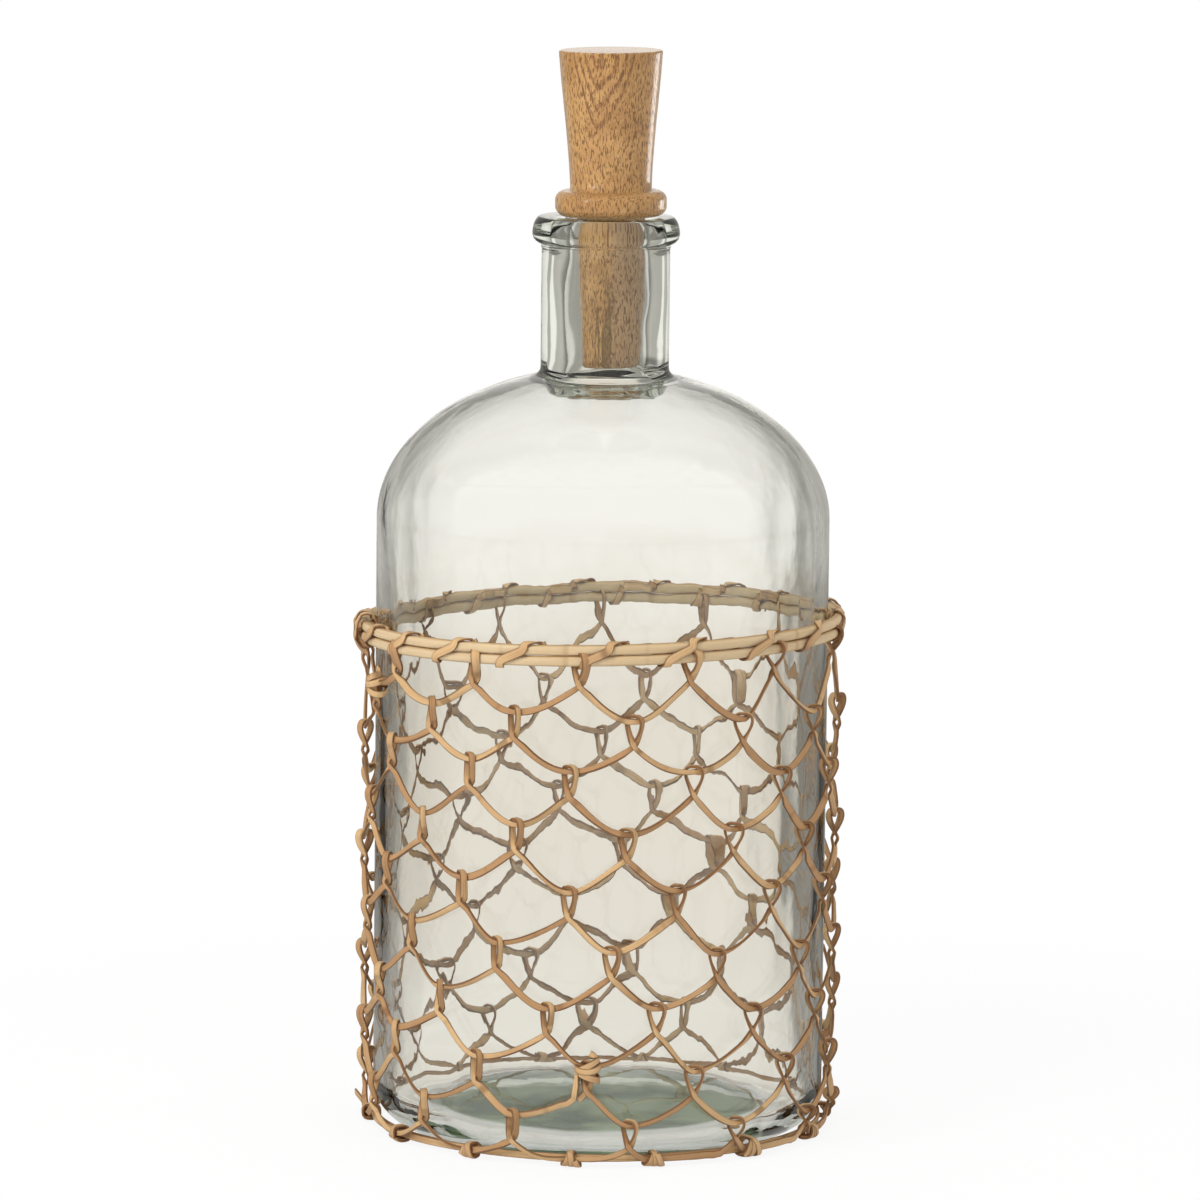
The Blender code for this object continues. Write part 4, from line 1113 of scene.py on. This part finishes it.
# %% One loop
def net_loop(route, loop, chance):
    """Up the right leg in front of what it hooks, over it, and down the left leg behind."""
    on_rim = loop < RIM_LOOPS
    angle, cross = loop_angle(loop), crossing_height(loop)
    centre = rim_height(angle) - HOOP_DROP if on_rim else hook_height(loop)
    radius = RIM_RADIUS if on_rim else NET_RADIUS
    depth = HOOP_CANE_RADIUS + STRIP_THICKNESS if on_rim else HOOK_OFFSET
    form = RIM_LOOP_FORM_SHARES if on_rim else LOOP_FORM_SHARES
    half = LOOP_HALF_WIDTH * chance.uniform(*HALF_WIDTH_RANGE)
    twist = chance.uniform(*TWIST_RANGE)
    broad = chance.uniform(*LEG_WIDE_RANGE)
    front_wide = (RIM_LEG_WIDE if on_rim else LEG_WIDE) * broad
    route.add(angle, NET_RADIUS - CROSSING_OFFSET, cross, wide=CROSSING_WIDE)
    for side, leg, wide in ((1, form, front_wide), (-1, form[::-1], broad)):
        if side < 0:
            route.add(angle, radius, centre - form[-1][1] * LOOP_LENGTH, 0.0, 1.0)
        for across, drop, away, out, up, lean in leg:
            height = centre - drop * (centre - cross if drop > 0 else LOOP_LENGTH)
            at, to_side = radius + side * depth * away, side * turn_of(half * across)
            route.add(angle + to_side, at, height, side * out, up, side * lean * twist, wide)
    route.turn_over()
    route.add(angle, NET_RADIUS + CROSSING_OFFSET, cross, wide=CROSSING_WIDE)


# %% [markdown]
# Between loops the strip only hangs, so an arc needs few points: where it lies, how
# steep it starts and ends, and where the next row pulls it down. On the way it leans
# one way or the other, and narrows or widens a little, again by chance. The lowest
# arcs reach the hoop at the foot and run along it.

# %% Sizes of the arcs
FALL_SLOPE, RISE_SLOPE = -0.95, 0.62
FALL_SHARES, RISE_SHARES = (0.16, 0.34, 0.52, 0.70, 0.86), (0.12, 0.28, 0.46, 0.64, 0.82)
LEAN_RANGE, SAG_RANGE, ARC_WIDE_RANGE, HOOKED_WIDE = (20, 62), (-0.0005, 0.0005), (0.75, 1.15), 0.8
FOOT_HEIGHT, FOOT_STRAND_RADIUS, FOOT_RUN_LEAD, FOOT_RUN_STEPS = 0.0033, 0.0909, 0.0060, 5


def eased(share, start, start_slope, end, end_slope):
    """A smooth curve between two heights, with a slope at each end."""
    s2, s3 = share ** 2, share ** 3
    return (
        (2 * s3 - 3 * s2 + 1) * start + (s3 - 2 * s2 + share) * start_slope
        + (3 * s2 - 2 * s3) * end + (s3 - s2) * end_slope
    )


def foot_run(route, start, stop):
    """A level run along the foot, from where one low loop lets go to just before the next."""
    for i in range(FOOT_RUN_STEPS + 1):
        route.add(start + (stop - start) * i / FOOT_RUN_STEPS, FOOT_STRAND_RADIUS, FOOT_HEIGHT)


# %% One arc
def net_arc(route, loop, chance):
    """From one loop, down to where the next row hooks it, and up to the next loop."""
    start = loop_angle(loop)
    hook = loop_angle(loop + RIM_LOOPS) - 360
    end = loop_angle(loop + 1)
    top, next_top = crossing_height(loop), crossing_height(loop + 1)
    tied = loop >= FIRST_TIED_ARC
    if tied and top <= LOWEST_CROSSING:
        lead = turn_of(FOOT_RUN_LEAD)
        foot_run(route, start + lead, hook if loop == LAST_LOOP else end - lead)
        return
    low = FOOT_HEIGHT if tied else hook_height(loop + RIM_LOOPS)
    radius = FOOT_STRAND_RADIUS if tied else NET_RADIUS
    lean_fall, lean_rise = (radians(chance.uniform(*LEAN_RANGE) * chance.choice((-1, 1))) for _ in range(2))
    sag = chance.uniform(*SAG_RANGE)
    wide_fall, wide_rise = (chance.uniform(*ARC_WIDE_RANGE) for _ in range(2))
    fall_run, rise_run = (radians(span) * NET_RADIUS for span in (hook - start, end - hook))
    for share in FALL_SHARES:
        height = eased(share, top, FALL_SLOPE * fall_run, low, 0.0) + sag * sin(pi * share)
        at = NET_RADIUS + (radius - NET_RADIUS) * share ** 2
        lean = lean_fall * sin(pi * share) ** 0.5
        route.add(start + (hook - start) * share, at, height, cos(lean), sin(lean), wide=wide_fall)
    route.add(hook, radius, low, wide=HOOKED_WIDE)
    for share in RISE_SHARES:
        height = eased(share, low, 0.0, next_top, RISE_SLOPE * rise_run) + sag * sin(pi * share)
        at = radius + (NET_RADIUS - radius) * share
        lean = lean_rise * sin(pi * share) ** 0.5
        route.add(hook + (end - hook) * share, at, height, cos(lean), sin(lean), wide=wide_rise)


# %% [markdown]
# Cane is only so long, so the net has three lengths. Each one ends by winding round
# the legs of the first loop of the next, which shows as a knot: one at the left
# under the rim, and one at the front near the foot.

# %% Knots
LOOPS_BELOW_KNOT = 17
KNOT_LOOPS = (RIM_LOOPS, LAST_LOOP - LOOPS_BELOW_KNOT)
KNOT_TURNS, KNOT_TURN_POINTS, KNOT_START_TURN, KNOT_SLANT_TURN = 2.4, 12, 0.17, 0.7
KNOT_HALF_WIDTH, KNOT_HALF_DEPTH, KNOT_SWELL_SHARE = 0.0041, 0.0034, 0.12
KNOT_PITCH, KNOT_SLANT, KNOT_TOP_RISE = 0.0020, 0.0021, 0.0012
KNOT_END_SHARE = 0.2
TAIL_LENGTH = 0.0034


def whipping(route, loop):
    """The end of one length of cane, wound up round the legs of the next one's first loop."""
    angle = loop_angle(loop)
    count = round(KNOT_TURNS * KNOT_TURN_POINTS)
    for i in range(count + 1):
        turn = 2 * pi * (KNOT_TURNS * i / count - KNOT_START_TURN)
        swell = 1 + KNOT_SWELL_SHARE * sin(pi * i / count)
        across, away = KNOT_HALF_WIDTH * swell * sin(turn), KNOT_HALF_DEPTH * swell * cos(turn)
        slant = KNOT_SLANT * cos(pi * min(1.0, max(0.0, i / count * KNOT_TURNS - KNOT_SLANT_TURN)))
        climb = KNOT_PITCH * KNOT_TURNS * (1 - i / count) + slant * sin(turn)
        height = hook_height(loop) + KNOT_TOP_RISE - climb
        route.add(angle + turn_of(across), NET_RADIUS + away, height, cos(turn), 0.0, sin(turn))
    route.add(angle + turn_of(KNOT_HALF_WIDTH * KNOT_END_SHARE), NET_RADIUS, height + KNOT_PITCH)


print("knots on loops:", KNOT_LOOPS)


# %% Lengths of net
def net_strand(first, last, chance):
    """One length of cane: its loops, the arcs between them, and its winding on the next length."""
    route = Route()
    tail_angle = loop_angle(first) - turn_of(TAIL_LENGTH)
    route.add(tail_angle, NET_RADIUS - CROSSING_OFFSET, crossing_height(first) - TAIL_LENGTH)
    for loop in range(first, last + 1):
        net_loop(route, loop, chance)
        net_arc(route, loop, chance)
    if last + 1 in KNOT_LOOPS:
        whipping(route, last + 1)
    return route


# %% Three lengths of net
NET_STRANDS = ("net_strand_upper", "net_strand_middle", "net_strand_lower")

chance = np.random.default_rng(7)
first = 0
for name, next_first in zip(NET_STRANDS, (*KNOT_LOOPS, LAST_LOOP + 1)):
    mesh = net_strand(first, next_first - 1, chance).swept(
        name, strip_tree, Width=STRIP_WIDTH, Thickness=STRIP_THICKNESS, Squareness=0.45, Unevenness=0.30,
        Steps=2, Sides=12,
    )
    add_sleeve_piece(name, mesh, strip_finish, "cane_strip", name)
    first = next_first

# %% [markdown]
# ## The foot
#
# A flat hoop lies round the heel of the bottle, lapped on itself, with a loose end
# that stands off at the left.

# %% Foot hoop
FOOT_WIDTH, FOOT_THICKNESS, FOOT_RADIUS = 0.0030, 0.0009, 0.0880
FOOT_START_ANGLE, FOOT_TURN, FOOT_POINTS = -42.0, 407.5, 136
FOOT_LAP, FOOT_LAP_START, FOOT_LAP_RUN = 0.0014, 352.0, 14.0
FOOT_TAIL_LENGTH, FOOT_TAIL_REACH, FOOT_TAIL_RISE, FOOT_TAIL_SAG = 0.0165, 0.0085, 0.0028, 0.0012
FOOT_TAIL_SHARES, FOOT_TAIL_SAG_PACE = (0.25, 0.5, 0.75, 1.0), 1.3

route = Route()
for i in range(FOOT_POINTS + 1):
    past = FOOT_TURN * i / FOOT_POINTS
    lapped = min(1.0, max(0.0, (past - FOOT_LAP_START) / FOOT_LAP_RUN))
    route.add(FOOT_START_ANGLE - past, FOOT_RADIUS + FOOT_LAP * lapped, FOOT_HEIGHT)
for share in FOOT_TAIL_SHARES:
    angle = FOOT_START_ANGLE - FOOT_TURN - turn_of(FOOT_TAIL_LENGTH) * share
    sag = FOOT_TAIL_SAG * sin(pi * min(1.0, share * FOOT_TAIL_SAG_PACE))
    radius = FOOT_RADIUS + FOOT_LAP + FOOT_TAIL_REACH * share ** 1.5
    route.add(angle, radius, FOOT_HEIGHT + (FOOT_TAIL_RISE * share ** 3 - sag))
mesh = route.swept(
    "foot_hoop", strip_tree, Width=FOOT_WIDTH, Thickness=FOOT_THICKNESS, Squareness=0.55, Unevenness=0.15,
    Steps=2, Sides=12,
)
add_sleeve_piece("foot_hoop", mesh, strip_finish, "cane_strip", "foot_hoop")

# %% [markdown]
# The lowest arcs of the net are lashed to the hoop with short strips, which show as
# small lumps along the bottom. Each is a few turns round hoop and strand, wound
# wider as it goes. One lump at the right of the front is larger than the others.

# %% Lashings
TIE_WIDTH, TIE_THICKNESS = 0.0026, 0.0012
TIE_TURNS, TIE_TURN_POINTS = 2.6, 14
TIE_PITCH, TIE_SLANT, TIE_GROWTH, TIE_ROUND_POWER = 0.0014, 0.0017, 0.22, 0.7
TIE_INSIDE, TIE_OUTSIDE, TIE_HALF_HEIGHT = 0.0868, 0.0926, 0.0022
BIG_TIE_ANGLE, BIG_TIE_GROWTH = 36.0, 0.45


def pressed(value):
    """A sine or cosine that stays near its ends for longer, so that a turn is squarer."""
    return np.sign(value) * abs(value) ** TIE_ROUND_POWER


def lashing(route, angle, begin, growth):
    """Turns of a strip round the hoop and the strand on it."""
    count = round(TIE_TURNS * TIE_TURN_POINTS)
    for i in range(count + 1):
        turn = begin + 2 * pi * TIE_TURNS * i / count
        layer = 1 + growth + TIE_GROWTH * (i / count)
        slant = TIE_SLANT * cos(pi * i / count) * sin(turn)
        slide = (TIE_PITCH * TIE_TURNS * (i / count - 0.5) + slant) * (1 + growth)
        away = pressed(cos(turn)) * ((TIE_OUTSIDE - TIE_INSIDE) / 2 * layer)
        up = pressed(sin(turn)) * TIE_HALF_HEIGHT * layer
        at, height = (TIE_INSIDE + TIE_OUTSIDE) / 2 + away, FOOT_HEIGHT + TIE_HALF_HEIGHT * growth + up
        route.add(angle + turn_of(slide), at, height, cos(turn), sin(turn))
    route.end()


ties = sorted(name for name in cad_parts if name.startswith("foot_tie"))
route = Route()
for name in ties:
    low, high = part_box(name)
    middle = (low + high) / 2
    angle = degrees(np.arctan2(middle.x, -middle.y))
    begin = chance.uniform(0, 2 * pi)
    is_big = abs(angle - BIG_TIE_ANGLE) < 360 / len(ties) / 2
    lashing(route, angle, begin, BIG_TIE_GROWTH if is_big else 0.0)
mesh = route.swept(
    "foot_ties", strip_tree, Width=TIE_WIDTH, Thickness=TIE_THICKNESS, Squareness=0.55, Unevenness=0.10,
    Steps=2, Sides=10,
)
add_sleeve_piece("foot_ties", mesh, strip_finish, "cane_strip", *ties)
